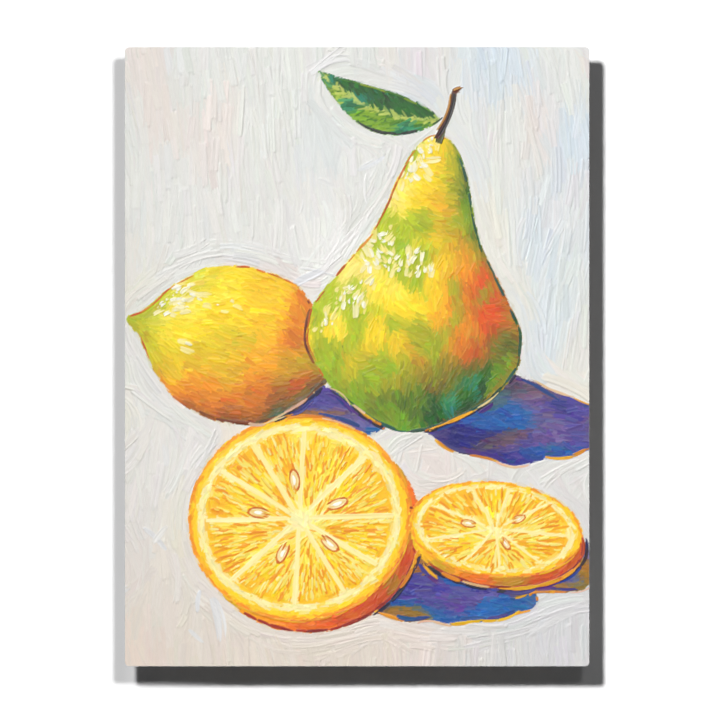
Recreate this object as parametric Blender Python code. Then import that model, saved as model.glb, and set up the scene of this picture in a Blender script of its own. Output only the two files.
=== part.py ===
"""Wall picture panel: a thin aluminium sheet that carries the picture, floated off the wall.

The sheet is taped to a set-back timber frame of four mitred rails. A crimped steel wire runs
between two screw eyes in the frame and hangs on a hook that a nail holds to the wall.
The wall is the plane y = 0 and the picture faces -Y. The origin is the middle of the wall
hook's back face, on the wall. Everything is in metres, +Z up.
"""

import math

import bmesh
import bpy
from mathutils import Matrix, Vector

# Driving dimensions.
SHEET_WIDTH = 0.3048
SHEET_HEIGHT = 0.4064
SHEET_THICKNESS = 0.0016
SHEET_CORNER = 0.0028
SHEET_TOP = 0.075  # height of the sheet's top edge above the hook's middle
PICTURE_THICKNESS = 0.0004
RAIL_WIDTH = 0.019
RAIL_DEPTH = 0.019
FRAME_INSET = 0.0254  # from the sheet's edge to the frame's outer face
TAPE_THICKNESS = 0.0010
BUMPER_THICKNESS = 0.0019
BUMPER_RADIUS = 0.005
WIRE_DIAMETER = 0.0010
FIT_GAP = 0.0003  # between pieces that touch

# Depths from the wall, worked out through the stack.
FRAME_BACK = BUMPER_THICKNESS + FIT_GAP
FRAME_FRONT = FRAME_BACK + RAIL_DEPTH
TAPE_BACK = FRAME_FRONT + FIT_GAP
SHEET_BACK = TAPE_BACK + TAPE_THICKNESS + FIT_GAP
PICTURE_BACK = SHEET_BACK + SHEET_THICKNESS + FIT_GAP

# The frame's outer size and the middle of the sheet.
MIDDLE_Z = SHEET_TOP - SHEET_HEIGHT / 2
FRAME_WIDTH = SHEET_WIDTH - 2 * FRAME_INSET
FRAME_HEIGHT = SHEET_HEIGHT - 2 * FRAME_INSET
RAIL_CENTRE_X = (FRAME_WIDTH - RAIL_WIDTH) / 2
RAIL_CENTRE_Z = (FRAME_HEIGHT - RAIL_WIDTH) / 2

# Staples that pull each mitre together, from the back.
STAPLE_SPAN = 0.014
STAPLE_WIDTH = 0.0012
STAPLE_THICKNESS = 0.0010
STAPLE_LEG = 0.006

# Screw eyes in the inner faces of the stiles.
EYE_HEIGHT = -0.040
EYE_RADIUS = 0.0041  # to the middle of the ring's bar
EYE_BAR = 0.0009  # radius of the bar and of the shank
EYE_NECK = 0.002
EYE_SHANK = 0.012
EYE_DEPTH = FRAME_BACK + RAIL_DEPTH / 2

# Wall hook, a bent strip.
HOOK_WIDTH = 0.009
HOOK_THICKNESS = 0.0010
HOOK_TOP = 0.012
HOOK_BEND_Z = -0.010
HOOK_INNER = 0.0020
HOOK_LIP = 0.0035
NAIL_HEIGHT = 0.0065
NAIL_RADIUS = 0.0007
NAIL_IN_WALL = 0.018

# The wire's crimped ends. Distances run back along the wire from the bar it loops round.
LOOP_RADIUS = 0.0022
LOOP_CENTRE = 0.0004  # the pull draws the loop's far side up to the bar
FERRULE_NEAR = 0.011
FERRULE_LENGTH = 0.008
LEG_OFFSET = 0.0008
FERRULE_WALL = 0.0006


def clear_scene():
    for obj in list(bpy.data.objects):
        bpy.data.objects.remove(obj)


def finish_of(name, color, roughness, metallic=0.0):
    """A Principled material, made once for each finish."""
    material = bpy.data.materials.get(name)
    if material is None:
        material = bpy.data.materials.new(name)
        material.use_nodes = True
        shader = material.node_tree.nodes["Principled BSDF"]
        shader.inputs["Base Color"].default_value = (*color, 1.0)
        shader.inputs["Roughness"].default_value = roughness
        shader.inputs["Metallic"].default_value = metallic
    return material


def mill_aluminium():
    return finish_of("mill_aluminium", (0.78, 0.79, 0.80), 0.35, 1.0)


def picture_paint():
    return finish_of("picture_paint", (0.78, 0.76, 0.70), 0.45)


def pine():
    return finish_of("pine", (0.72, 0.53, 0.32), 0.6)


def foam_tape():
    return finish_of("foam_tape", (0.85, 0.85, 0.83), 0.8)


def zinc_steel():
    return finish_of("zinc_steel", (0.66, 0.67, 0.68), 0.3, 1.0)


def brass_plate():
    return finish_of("brass_plate", (0.80, 0.60, 0.25), 0.3, 1.0)


def grey_rubber():
    return finish_of("grey_rubber", (0.16, 0.16, 0.17), 0.75)


def add_object(name, mesh_data, material, place=(0, 0, 0), turn=None):
    obj = bpy.data.objects.new(name, mesh_data)
    bpy.context.scene.collection.objects.link(obj)
    obj.location = place
    if turn is not None:
        obj.rotation_euler = turn.to_euler()
    if material is not None:
        obj.data.materials.append(material)
    return obj


def mesh_from(bm, name):
    bmesh.ops.recalc_face_normals(bm, faces=bm.faces)
    mesh = bpy.data.meshes.new(name)
    bm.to_mesh(mesh)
    bm.free()
    return mesh


def extruded(name, outline, direction):
    """A closed solid: the outline's face pushed along direction."""
    bm = bmesh.new()
    face = bm.faces.new([bm.verts.new(point) for point in outline])
    grown = bmesh.ops.extrude_face_region(bm, geom=[face])
    moved = [item for item in grown["geom"] if isinstance(item, bmesh.types.BMVert)]
    bmesh.ops.translate(bm, verts=moved, vec=direction)
    return mesh_from(bm, name)


def turned(name, profile, steps):
    """A solid of revolution about local Z from (radius, height) points that start and end on it."""
    bm = bmesh.new()
    verts = [bm.verts.new((radius, 0, height)) for radius, height in profile]
    edges = [bm.edges.new(pair) for pair in zip(verts, verts[1:])]
    bmesh.ops.spin(
        bm,
        geom=verts + edges,
        axis=(0, 0, 1),
        cent=(0, 0, 0),
        angle=math.tau,
        steps=steps,
        use_merge=True,
    )
    bmesh.ops.remove_doubles(bm, verts=bm.verts, dist=1e-6)
    mesh = mesh_from(bm, name)
    mesh.shade_smooth()
    mesh.set_sharp_from_angle(angle=math.radians(35))
    return mesh


def cut(target, cutter):
    cutter.hide_render = True
    cutter.display_type = "WIRE"
    modifier = target.modifiers.new("cut", "BOOLEAN")
    modifier.operation = "DIFFERENCE"
    modifier.solver = "EXACT"
    modifier.object = cutter


def eased(obj, width, segments=2):
    """Rounds the object's sharp edges a little."""
    bevel = obj.modifiers.new("eased_edges", "BEVEL")
    bevel.width = width
    bevel.segments = segments
    bevel.limit_method = "ANGLE"


def rounded_outline(width, height, radius, depth, steps=6):
    """Points round a rectangle with round corners, in the plane y = -depth."""
    points = []
    corners = [(1, 1, 0), (-1, 1, 90), (-1, -1, 180), (1, -1, 270)]
    for side_x, side_z, start in corners:
        centre_x = side_x * (width / 2 - radius)
        centre_z = side_z * (height / 2 - radius)
        for step in range(steps + 1):
            angle = math.radians(start + 90 * step / steps)
            x = centre_x + radius * math.cos(angle)
            z = centre_z + radius * math.sin(angle)
            points.append((x, -depth, MIDDLE_Z + z))
    return points


def build_sheet():
    outline = rounded_outline(SHEET_WIDTH, SHEET_HEIGHT, SHEET_CORNER, SHEET_BACK)
    mesh = extruded("sheet", outline, (0, -SHEET_THICKNESS, 0))
    add_object("aluminium_sheet", mesh, mill_aluminium())


def build_picture():
    """The paint film on the sheet's face, a hair smaller than the sheet all round."""
    width = SHEET_WIDTH - FIT_GAP
    height = SHEET_HEIGHT - FIT_GAP
    outline = rounded_outline(width, height, SHEET_CORNER, PICTURE_BACK)
    mesh = extruded("picture", outline, (0, -PICTURE_THICKNESS, 0))
    add_object("picture_face", mesh, picture_paint())


def corner_places():
    """Each corner's name, its side in x and in z, and the middle of its mitre."""
    for name_z, side_z in (("top", 1), ("bottom", -1)):
        for name_x, side_x in (("left", -1), ("right", 1)):
            x = side_x * RAIL_CENTRE_X
            z = MIDDLE_Z + side_z * RAIL_CENTRE_Z
            yield f"{name_z}_{name_x}", side_x, side_z, x, z


def staple_direction(side_x, side_z):
    """Unit vector across the mitre, from the rail to the stile."""
    return Vector((side_x, 0, -side_z)).normalized()


def build_leg_slots():
    """One cutter with the slots of all eight staple legs."""
    bm = bmesh.new()
    depth = STAPLE_LEG + 2 * FIT_GAP
    for _, side_x, side_z, x, z in corner_places():
        across = staple_direction(side_x, side_z)
        turn = Matrix.Rotation(math.radians(45), 4, "Y")
        for end in (-1, 1):
            offset = across * end * (STAPLE_SPAN - STAPLE_THICKNESS) / 2
            centre = Vector((x, -(FRAME_BACK + depth / 2 - FIT_GAP), z)) + offset
            size = (STAPLE_WIDTH + 2 * FIT_GAP, depth, STAPLE_WIDTH + 2 * FIT_GAP)
            scale = Matrix.Diagonal((*size, 1))
            place = Matrix.Translation(centre) @ turn @ scale
            bmesh.ops.create_cube(bm, size=1, matrix=place)
    return add_object("leg_slot_cutter", mesh_from(bm, "leg_slots"), None)


def build_pilot_holes():
    """One cutter with the pilot holes of both screw eyes, from the stiles' inner faces."""
    bm = bmesh.new()
    reach = EYE_SHANK + 2 * FIT_GAP
    inner_face = FRAME_WIDTH / 2 - RAIL_WIDTH
    for side in (-1, 1):
        centre = (side * (inner_face + reach / 2 - FIT_GAP), -EYE_DEPTH, EYE_HEIGHT)
        place = Matrix.Translation(centre) @ Matrix.Rotation(math.radians(90), 4, "Y")
        bmesh.ops.create_cone(
            bm,
            cap_ends=True,
            segments=16,
            radius1=EYE_BAR + FIT_GAP,
            radius2=EYE_BAR + FIT_GAP,
            depth=reach,
            matrix=place,
        )
    return add_object("pilot_hole_cutter", mesh_from(bm, "pilot_holes"), None)


def rail_mesh(length):
    """A mitred rail along local X. Its outer face is at +Z and its back at +Y."""
    half = length / 2 - FIT_GAP / math.sqrt(2)
    width = RAIL_WIDTH
    outline = [
        (half, RAIL_DEPTH / 2, width / 2),
        (-half, RAIL_DEPTH / 2, width / 2),
        (width - half, RAIL_DEPTH / 2, -width / 2),
        (half - width, RAIL_DEPTH / 2, -width / 2),
    ]
    return extruded("rail", outline, (0, -RAIL_DEPTH, 0))


def build_frame():
    """Two rails and two stiles, turned about Y so that each outer face looks outwards."""
    leg_slots = build_leg_slots()
    pilot_holes = build_pilot_holes()
    pieces = [
        ("top_rail", FRAME_WIDTH, 0, 0, RAIL_CENTRE_Z),
        ("right_stile", FRAME_HEIGHT, 90, RAIL_CENTRE_X, 0),
        ("bottom_rail", FRAME_WIDTH, 180, 0, -RAIL_CENTRE_Z),
        ("left_stile", FRAME_HEIGHT, 270, -RAIL_CENTRE_X, 0),
    ]
    for name, length, degrees, x, z in pieces:
        place = (x, -(FRAME_BACK + RAIL_DEPTH / 2), MIDDLE_Z + z)
        turn = Matrix.Rotation(math.radians(degrees), 4, "Y")
        rail = add_object(name, rail_mesh(length), pine(), place, turn)
        eased(rail, 0.0006)
        cut(rail, leg_slots)
        if name.endswith("stile"):
            cut(rail, pilot_holes)


def build_tapes():
    """Four strips of double-sided foam tape between the frame's front and the sheet."""
    width = 0.012
    across = FRAME_WIDTH - 0.008
    upright = FRAME_HEIGHT - 2 * RAIL_WIDTH
    strips = [
        ("top_tape", (across, width), 0, RAIL_CENTRE_Z),
        ("bottom_tape", (across, width), 0, -RAIL_CENTRE_Z),
        ("left_tape", (width, upright), -RAIL_CENTRE_X, 0),
        ("right_tape", (width, upright), RAIL_CENTRE_X, 0),
    ]
    depth = TAPE_BACK + TAPE_THICKNESS / 2
    for name, (size_x, size_z), x, z in strips:
        bm = bmesh.new()
        size = Matrix.Diagonal((size_x, TAPE_THICKNESS, size_z, 1))
        bmesh.ops.create_cube(bm, size=1, matrix=size)
        place = (x, -depth, MIDDLE_Z + z)
        add_object(name, mesh_from(bm, name), foam_tape(), place)


def build_staples():
    """A flat-crowned staple across each mitre, its legs in the two rails."""
    half = STAPLE_SPAN / 2
    inner = half - STAPLE_THICKNESS
    outline = [
        (-half, 0, 0),
        (half, 0, 0),
        (half, -STAPLE_THICKNESS - STAPLE_LEG, 0),
        (inner, -STAPLE_THICKNESS - STAPLE_LEG, 0),
        (inner, -STAPLE_THICKNESS, 0),
        (-inner, -STAPLE_THICKNESS, 0),
        (-inner, -STAPLE_THICKNESS - STAPLE_LEG, 0),
        (-half, -STAPLE_THICKNESS - STAPLE_LEG, 0),
    ]
    crown_back = FRAME_BACK - FIT_GAP - STAPLE_THICKNESS
    for corner, side_x, side_z, x, z in corner_places():
        mesh = extruded("staple", outline, (0, 0, STAPLE_WIDTH))
        mesh.transform(Matrix.Translation((0, 0, -STAPLE_WIDTH / 2)))
        turn = Matrix.Rotation(math.radians(45 * side_x * side_z), 4, "Y")
        add_object(f"staple_{corner}", mesh, zinc_steel(), (x, -crown_back, z), turn)


def build_bumpers():
    """Four rubber buttons that keep the frame off the wall."""
    round_edge = 0.0005
    steps = 4
    profile = [(0, 0), (BUMPER_RADIUS - round_edge, 0)]
    for step in range(1, steps + 1):
        angle = math.radians(90 * step / steps)
        radius = BUMPER_RADIUS - round_edge * (1 - math.sin(angle))
        profile.append((radius, round_edge * (1 - math.cos(angle))))
    profile += [(BUMPER_RADIUS, BUMPER_THICKNESS), (0, BUMPER_THICKNESS)]
    from_corner = 0.032
    turn = Matrix.Rotation(math.radians(90), 4, "X")
    for corner, side_x, side_z, x, z in corner_places():
        mesh = turned("bumper", profile, 28)
        place = (x - side_x * from_corner, 0, z)
        add_object(f"bumper_{corner}", mesh, grey_rubber(), place, turn)


def build_screw_eyes():
    """A ring of round bar, joined to the shank that goes into the stile."""
    inner_face = FRAME_WIDTH / 2 - RAIL_WIDTH
    ring_x = inner_face - EYE_NECK - EYE_RADIUS - EYE_BAR
    shank_end = inner_face + EYE_SHANK
    tip = 0.002
    shank_profile = [
        (0, shank_end),
        (EYE_BAR, shank_end - tip),
        (EYE_BAR, ring_x + EYE_RADIUS),
        (0, ring_x + EYE_RADIUS),
    ]
    for name, side in (("left", -1), ("right", 1)):
        bpy.ops.mesh.primitive_torus_add(
            major_segments=32,
            minor_segments=12,
            major_radius=EYE_RADIUS,
            minor_radius=EYE_BAR,
            location=(side * ring_x, -EYE_DEPTH, EYE_HEIGHT),
            rotation=(math.radians(90), 0, 0),
        )
        eye = bpy.context.object
        eye.name = f"screw_eye_{name}"
        eye.data.materials.append(zinc_steel())
        turn = Matrix.Rotation(math.radians(90 * side), 4, "Y")
        place = (0, -EYE_DEPTH, EYE_HEIGHT)
        mesh = turned("shank", shank_profile, 12)
        shank = add_object(f"shank_guide_{name}", mesh, None, place, turn)
        shank.hide_render = True
        shank.display_type = "WIRE"
        join = eye.modifiers.new("shank", "BOOLEAN")
        join.operation = "UNION"
        join.solver = "EXACT"
        join.object = shank


def hook_outline():
    """The hook's side view: a strip that follows the wall, turns up round the trough and ends
    in a short lip. Points are (depth from the wall, height)."""
    steps = 10
    trough_depth = HOOK_THICKNESS + HOOK_INNER
    outer = [(0, HOOK_TOP)]
    inner = [(HOOK_THICKNESS, HOOK_TOP)]
    for step in range(steps + 1):
        angle = math.radians(180 * step / steps)
        across = math.cos(angle)
        down = math.sin(angle)
        outer_radius = HOOK_INNER + HOOK_THICKNESS
        outer.append(
            (trough_depth - outer_radius * across, HOOK_BEND_Z - outer_radius * down)
        )
        inner.append(
            (trough_depth - HOOK_INNER * across, HOOK_BEND_Z - HOOK_INNER * down)
        )
    lip_out = 0.0006
    outer.append((2 * trough_depth + lip_out, HOOK_BEND_Z + HOOK_LIP))
    inner.append((2 * trough_depth + lip_out - HOOK_THICKNESS, HOOK_BEND_Z + HOOK_LIP))
    return outer + inner[::-1]


def build_wall_hook():
    """The bent strip that the wire hangs in, with a hole for its nail."""
    half = HOOK_WIDTH / 2
    outline = [(-half, -depth, height) for depth, height in hook_outline()]
    mesh = extruded("hook", outline, (HOOK_WIDTH, 0, 0))
    hook = add_object("wall_hook", mesh, brass_plate())
    bm = bmesh.new()
    bmesh.ops.create_cone(
        bm,
        cap_ends=True,
        segments=20,
        radius1=NAIL_RADIUS + FIT_GAP,
        radius2=NAIL_RADIUS + FIT_GAP,
        depth=4 * HOOK_THICKNESS,
        matrix=Matrix.Translation((0, 0, NAIL_HEIGHT))
        @ Matrix.Rotation(math.radians(90), 4, "X"),
    )
    cut(hook, add_object("nail_hole_cutter", mesh_from(bm, "nail_hole"), None))


def build_nail():
    """A round-headed nail through the hook's plate and into the wall."""
    head_back = HOOK_THICKNESS + FIT_GAP
    head_radius = 0.0019
    head_thickness = 0.0008
    point = 0.003
    profile = [
        (0, -NAIL_IN_WALL),
        (NAIL_RADIUS, point - NAIL_IN_WALL),
        (NAIL_RADIUS, head_back),
        (head_radius, head_back),
        (head_radius, head_back + head_thickness * 0.6),
        (head_radius * 0.7, head_back + head_thickness),
        (0, head_back + head_thickness),
    ]
    turn = Matrix.Rotation(math.radians(90), 4, "X")
    place = (0, 0, NAIL_HEIGHT)
    add_object("hook_nail", turned("nail", profile, 20), zinc_steel(), place, turn)


def wire_end():
    """Where the right-hand end of the wire loops: the middle of the ring's bar there, and the
    unit vector from it back towards the hook."""
    ring_x = FRAME_WIDTH / 2 - RAIL_WIDTH - EYE_NECK - EYE_RADIUS - EYE_BAR
    ring = Vector((ring_x, -EYE_DEPTH, EYE_HEIGHT))
    peak = Vector((HOOK_WIDTH / 2, -EYE_DEPTH, wire_peak().z))
    back = (peak - ring).normalized()
    return ring + back * EYE_RADIUS, back


def wire_peak():
    """The wire's middle, lying in the bottom of the hook's trough."""
    depth = HOOK_THICKNESS + HOOK_INNER
    height = HOOK_BEND_Z - HOOK_INNER + WIRE_DIAMETER / 2 + FIT_GAP
    return Vector((0, -depth, height))


def wire_route():
    """Points through the wire's right half, from the hook out to the screw eye, through its
    ring, back into the ferrule and out to the cut tail."""
    bar, back = wire_end()
    wallward = Vector((0, 1, 0))
    peak = wire_peak()
    far = FERRULE_NEAR + FERRULE_LENGTH

    def leg(along, offset):
        return bar + back * along + wallward * offset

    points = [
        peak,
        peak + Vector((HOOK_WIDTH / 2 + 0.0005, 0, 0)),
        peak + Vector((HOOK_WIDTH / 2 + 0.003, -0.0002, -0.0007)),
        leg(0.060, 0.0040),
        leg(0.035, 0.0018),
        leg(far + 0.003, LEG_OFFSET + 0.0002),
        leg(far - 0.001, LEG_OFFSET),
        leg(FERRULE_NEAR, LEG_OFFSET),
        leg(0.0065, 0.0016),
        leg(0.0030, LOOP_RADIUS * 0.98),
    ]
    for degrees in (90, 50, 10, -30, -70):
        angle = math.radians(degrees)
        along = LOOP_CENTRE - LOOP_RADIUS * math.cos(angle)
        points.append(leg(along, LOOP_RADIUS * math.sin(angle)))
    points += [
        leg(0.0030, -LOOP_RADIUS * 0.98),
        leg(0.0065, -0.0016),
        leg(FERRULE_NEAR, -LEG_OFFSET),
        leg(far - 0.001, -LEG_OFFSET),
        leg(far + 0.002, -LEG_OFFSET),
    ]
    return points


def smooth_line(points, per_span):
    """A centripetal Catmull-Rom curve through the points."""
    padded = [2 * points[0] - points[1], *points, 2 * points[-1] - points[-2]]
    line = []
    for p0, p1, p2, p3 in zip(padded, padded[1:], padded[2:], padded[3:]):
        t1 = (p1 - p0).length ** 0.5
        t2 = t1 + (p2 - p1).length ** 0.5
        t3 = t2 + (p3 - p2).length ** 0.5
        for step in range(per_span):
            t = t1 + (t2 - t1) * step / per_span
            a1 = p0 * ((t1 - t) / t1) + p1 * (t / t1)
            a2 = p1 * ((t2 - t) / (t2 - t1)) + p2 * ((t - t1) / (t2 - t1))
            a3 = p2 * ((t3 - t) / (t3 - t2)) + p3 * ((t - t2) / (t3 - t2))
            b1 = a1 * ((t2 - t) / t2) + a2 * (t / t2)
            b2 = a2 * ((t3 - t) / (t3 - t1)) + a3 * ((t - t1) / (t3 - t1))
            line.append(b1 * ((t2 - t) / (t2 - t1)) + b2 * ((t - t1) / (t2 - t1)))
    line.append(points[-1])
    return line


def build_wire():
    """The hanging wire as one round tube, left tail to right tail."""
    right = wire_route()
    left = [Vector((-p.x, p.y, p.z)) for p in right[:0:-1]]
    line = smooth_line(left + right, 2)
    curve = bpy.data.curves.new("wire", "CURVE")
    curve.dimensions = "3D"
    curve.bevel_depth = WIRE_DIAMETER / 2
    curve.bevel_resolution = 2
    curve.use_fill_caps = True
    spline = curve.splines.new("POLY")
    spline.points.add(len(line) - 1)
    for point, place in zip(spline.points, line):
        point.co = (*place, 1)
    add_object("hanging_wire", curve, zinc_steel())


def stadium(half_long, half_short, steps=8):
    """An outline with round ends in the local XY plane, longer along Y."""
    points = []
    straight = half_long - half_short
    for side in (1, -1):
        for step in range(steps + 1):
            angle = math.radians(180 * step / steps)
            x = side * half_short * math.cos(angle)
            y = side * (straight + half_short * math.sin(angle))
            points.append((x, y, 0))
    return points


def build_ferrules():
    """A crimped sleeve round the wire's two legs at each end."""
    bar, back = wire_end()
    inner_short = WIRE_DIAMETER / 2 + FIT_GAP
    inner_long = inner_short + LEG_OFFSET
    middle = bar + back * (FERRULE_NEAR + FERRULE_LENGTH / 2)
    for name, side in (("left", -1), ("right", 1)):
        outline = stadium(inner_long + FERRULE_WALL, inner_short + FERRULE_WALL)
        mesh = extruded("ferrule", outline, (0, 0, FERRULE_LENGTH))
        mesh.transform(Matrix.Translation((0, 0, -FERRULE_LENGTH / 2)))
        axis = Vector((side * back.x, back.y, back.z))
        across = Vector((0, 1, 0)).cross(axis)
        turn = Matrix((across, (0, 1, 0), axis)).transposed().to_4x4()
        place = (side * middle.x, middle.y, middle.z)
        ferrule = add_object(f"ferrule_{name}", mesh, mill_aluminium(), place, turn)
        bore = extruded("bore", stadium(inner_long, inner_short), (0, 0, 0.02))
        bore.transform(Matrix.Translation((0, 0, -0.01)))
        cut(ferrule, add_object(f"bore_cutter_{name}", bore, None, place, turn))


clear_scene()
build_sheet()
build_picture()
build_frame()
build_tapes()
build_staples()
build_bumpers()
build_screw_eyes()
build_wall_hook()
build_nail()
build_wire()
build_ferrules()
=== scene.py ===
"""The looks of a wall picture panel: a painted aluminium sheet on a set-back timber frame.

The wall is the plane y = 0 and the picture faces -Y. Sizes are in metres, +Z up, apart from the
picture's own plan, which is in millimetres about the middle of the sheet.
"""

import math

import bmesh
import bpy
import numpy as np
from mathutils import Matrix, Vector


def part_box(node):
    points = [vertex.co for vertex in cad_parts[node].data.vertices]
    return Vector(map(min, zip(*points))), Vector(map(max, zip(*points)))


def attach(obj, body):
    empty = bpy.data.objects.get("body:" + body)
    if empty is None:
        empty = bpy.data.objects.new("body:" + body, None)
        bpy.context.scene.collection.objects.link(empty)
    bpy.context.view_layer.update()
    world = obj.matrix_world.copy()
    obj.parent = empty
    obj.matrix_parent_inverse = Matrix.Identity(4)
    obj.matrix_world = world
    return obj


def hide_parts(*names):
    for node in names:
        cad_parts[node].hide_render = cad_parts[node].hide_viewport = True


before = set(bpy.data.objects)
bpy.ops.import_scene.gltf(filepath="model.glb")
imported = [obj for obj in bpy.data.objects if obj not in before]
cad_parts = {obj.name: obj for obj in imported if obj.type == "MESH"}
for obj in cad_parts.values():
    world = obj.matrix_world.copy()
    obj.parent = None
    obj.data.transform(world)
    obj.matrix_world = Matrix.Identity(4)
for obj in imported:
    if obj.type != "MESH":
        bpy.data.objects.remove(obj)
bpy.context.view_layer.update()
scene = bpy.context.scene

# ---- Camera ----
# It stands square in front of the picture, a little to the right of its middle and below it,
# at the distance where a long lens sees half as much again as the sheet's width.

sheet_low, sheet_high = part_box("aluminium_sheet")
SHEET_WIDTH = sheet_high[0] - sheet_low[0]
SHEET_HEIGHT = sheet_high[2] - sheet_low[2]
MIDDLE_Z = (sheet_high[2] + sheet_low[2]) / 2
PICTURE_SHARE = 0.6451  # of the view's width that the sheet takes
LENS = 400
SENSOR = 36
ASIDE = 0.0019  # how far it stands to the right of the sheet's middle
BELOW = 0.0022  # and below it
distance = SHEET_WIDTH / PICTURE_SHARE * LENS / SENSOR

camera_data = bpy.data.cameras.new("camera")
camera_data.lens = LENS
camera_data.sensor_width = SENSOR
camera_data.clip_end = 50
camera = bpy.data.objects.new("camera", camera_data)
scene.collection.objects.link(camera)
camera.location = (ASIDE, sheet_low[1] - distance, MIDDLE_Z - BELOW)
camera.rotation_euler = (math.radians(90), 0, 0)
scene.camera = camera

# ---- The wall and the floor ----
# A plain white wall takes the picture's shadows. It is painted on its front only, so from behind
# one looks through it at the picture's back. The pale floor is a long way down.

FLOOR_Z = -1.5
ROOM = 3.0
WALL_Y = 0.0002


def node(tree, kind, inputs=None, **settings):
    """A shader node with its settings, and with values or links put on its inputs."""
    made = tree.nodes.new("ShaderNode" + kind)
    for key, value in settings.items():
        setattr(made, key, value)
    for key, value in (inputs or {}).items():
        if isinstance(value, bpy.types.NodeSocket):
            tree.links.new(value, made.inputs[key])
        else:
            made.inputs[key].default_value = value
    return made


def new_material(name):
    """A material with nothing in its node tree, and the tree."""
    material = bpy.data.materials.new(name)
    material.use_nodes = True
    material.node_tree.nodes.clear()
    return material, material.node_tree


def plane(name, corners, material):
    """One flat four-sided face."""
    mesh = bpy.data.meshes.new(name)
    mesh.from_pydata(corners, [], [(0, 1, 2, 3)])
    mesh.materials.append(material)
    made = bpy.data.objects.new(name, mesh)
    scene.collection.objects.link(made)
    return made


white, tree = new_material("white_wall")
paint = node(tree, "BsdfDiffuse", {"Color": (0.98, 0.98, 0.98, 1)})
clear = node(tree, "BsdfTransparent")
behind = node(tree, "NewGeometry").outputs["Backfacing"]
sides = node(tree, "MixShader", {0: behind, 1: paint.outputs[0], 2: clear.outputs[0]})
node(tree, "OutputMaterial", {"Surface": sides.outputs[0]})
wall_corners = ((-ROOM, FLOOR_Z), (ROOM, FLOOR_Z), (ROOM, ROOM), (-ROOM, ROOM))
wall = plane("wall", [(x, WALL_Y, z) for x, z in wall_corners], white)
wall.visible_shadow = False
wall.visible_glossy = False
wall.visible_diffuse = False
wall.visible_transmission = False

pale, tree = new_material("pale_floor")
paint = node(tree, "BsdfDiffuse", {"Color": (0.85, 0.85, 0.84, 1)})
node(tree, "OutputMaterial", {"Surface": paint.outputs[0]})
floor_corners = ((-ROOM, -ROOM), (ROOM, -ROOM), (ROOM, ROOM), (-ROOM, ROOM))
floor = plane("floor", [(x, y, FLOOR_Z) for x, y in floor_corners], pale)
floor.visible_diffuse = False

# ---- Light ----
# A lamp at the upper left throws the dark shadow to the lower right, and one at the upper right
# throws the pale shadow to the lower left. Soft lamps behind the wall light the back and a side.

AWAY = 1.9  # the two front lamps' distance from the wall
BULB = 0.14
REACH = 1.4 * AWAY  # how far from the lamp its filter still evens out the light
FILTER_FROM, FILTER_TO = -0.155, -0.085  # where on the wall the filters grade from left to right


def lamp(name, kind, place, power, **settings):
    """A lamp turned to face the sheet's middle, its node tree and its emission's strength."""
    data = bpy.data.lights.new(name, kind)
    data.energy = power
    for key, value in settings.items():
        setattr(data, key, value)
    made = bpy.data.objects.new(name, data)
    scene.collection.objects.link(made)
    made.location = place
    toward = Vector((0, 0, MIDDLE_Z)) - Vector(place)
    made.rotation_euler = toward.to_track_quat("-Z", "Y").to_euler()
    made.visible_camera = False
    data.use_nodes = True
    return data.node_tree, data.node_tree.nodes["Emission"].inputs["Strength"]


def maths(tree, operation, *values):
    """The result of a Math node on numbers or sockets."""
    return node(tree, "Math", dict(enumerate(values)), operation=operation).outputs[0]


def vector_maths(tree, operation, *values):
    """The result of a Vector Math node: a vector, or a number for LENGTH."""
    made = node(tree, "VectorMath", dict(enumerate(values)), operation=operation)
    return made.outputs["Value" if operation == "LENGTH" else "Vector"]


def remap(tree, value, low, high, to_low=0.0, to_high=1.0, **settings):
    """The run of value from low to high as one from to_low to to_high, held beyond its ends."""
    ends = {"From Min": low, "From Max": high, "To Min": to_low, "To Max": to_high}
    return node(tree, "MapRange", {"Value": value, **ends}, **settings).outputs[0]


# Each front lamp has a filter that lets more light through to where it has farther to go, and is
# graded: over the picture's left edge the side lamp takes over from the key lamp. So the wall
# and the picture are lit evenly.
for name, right, up, power, on_left, on_right in (
    ("key_lamp", -0.346, 0.466, 157.5, 0.462, 1.0),
    ("side_lamp", 0.254, 0.383, 80.5, 1.0, 0.09),
):
    place = (right * AWAY, -AWAY, MIDDLE_Z + up * AWAY)
    tree, strength = lamp(name, "POINT", place, power, shadow_soft_size=BULB, use_soft_falloff=True)
    bulb = node(tree, "NewGeometry").outputs
    far = node(tree, "LightPath").outputs["Ray Length"]
    lit = vector_maths(tree, "MULTIPLY_ADD", bulb["Normal"], far, bulb["Position"])
    across = node(tree, "SeparateXYZ", {0: lit}).outputs["X"]
    graded = remap(tree, across, FILTER_FROM, FILTER_TO, on_left, on_right)
    ratio = maths(tree, "DIVIDE", maths(tree, "MINIMUM", far, REACH), AWAY)
    even = maths(tree, "MULTIPLY", graded, maths(tree, "POWER", ratio, 3))
    tree.links.new(even, strength)
for name, place, power in (
    ("back_lamp_left", (-1.4, 2.2, 1.2), 27),
    ("back_lamp_right", (1.6, 2.0, 0.3), 17),
    ("edge_lamp", (2.4, 0.5, 0.6), 26),
):
    # Only what is looked at directly is lit by these: nothing of them goes on round to the wall.
    tree, strength = lamp(name, "AREA", place, power, size=1.2)
    bounced = node(tree, "LightPath").outputs["Ray Depth"]
    tree.links.new(maths(tree, "LESS_THAN", bounced, 1.5), strength)

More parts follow.
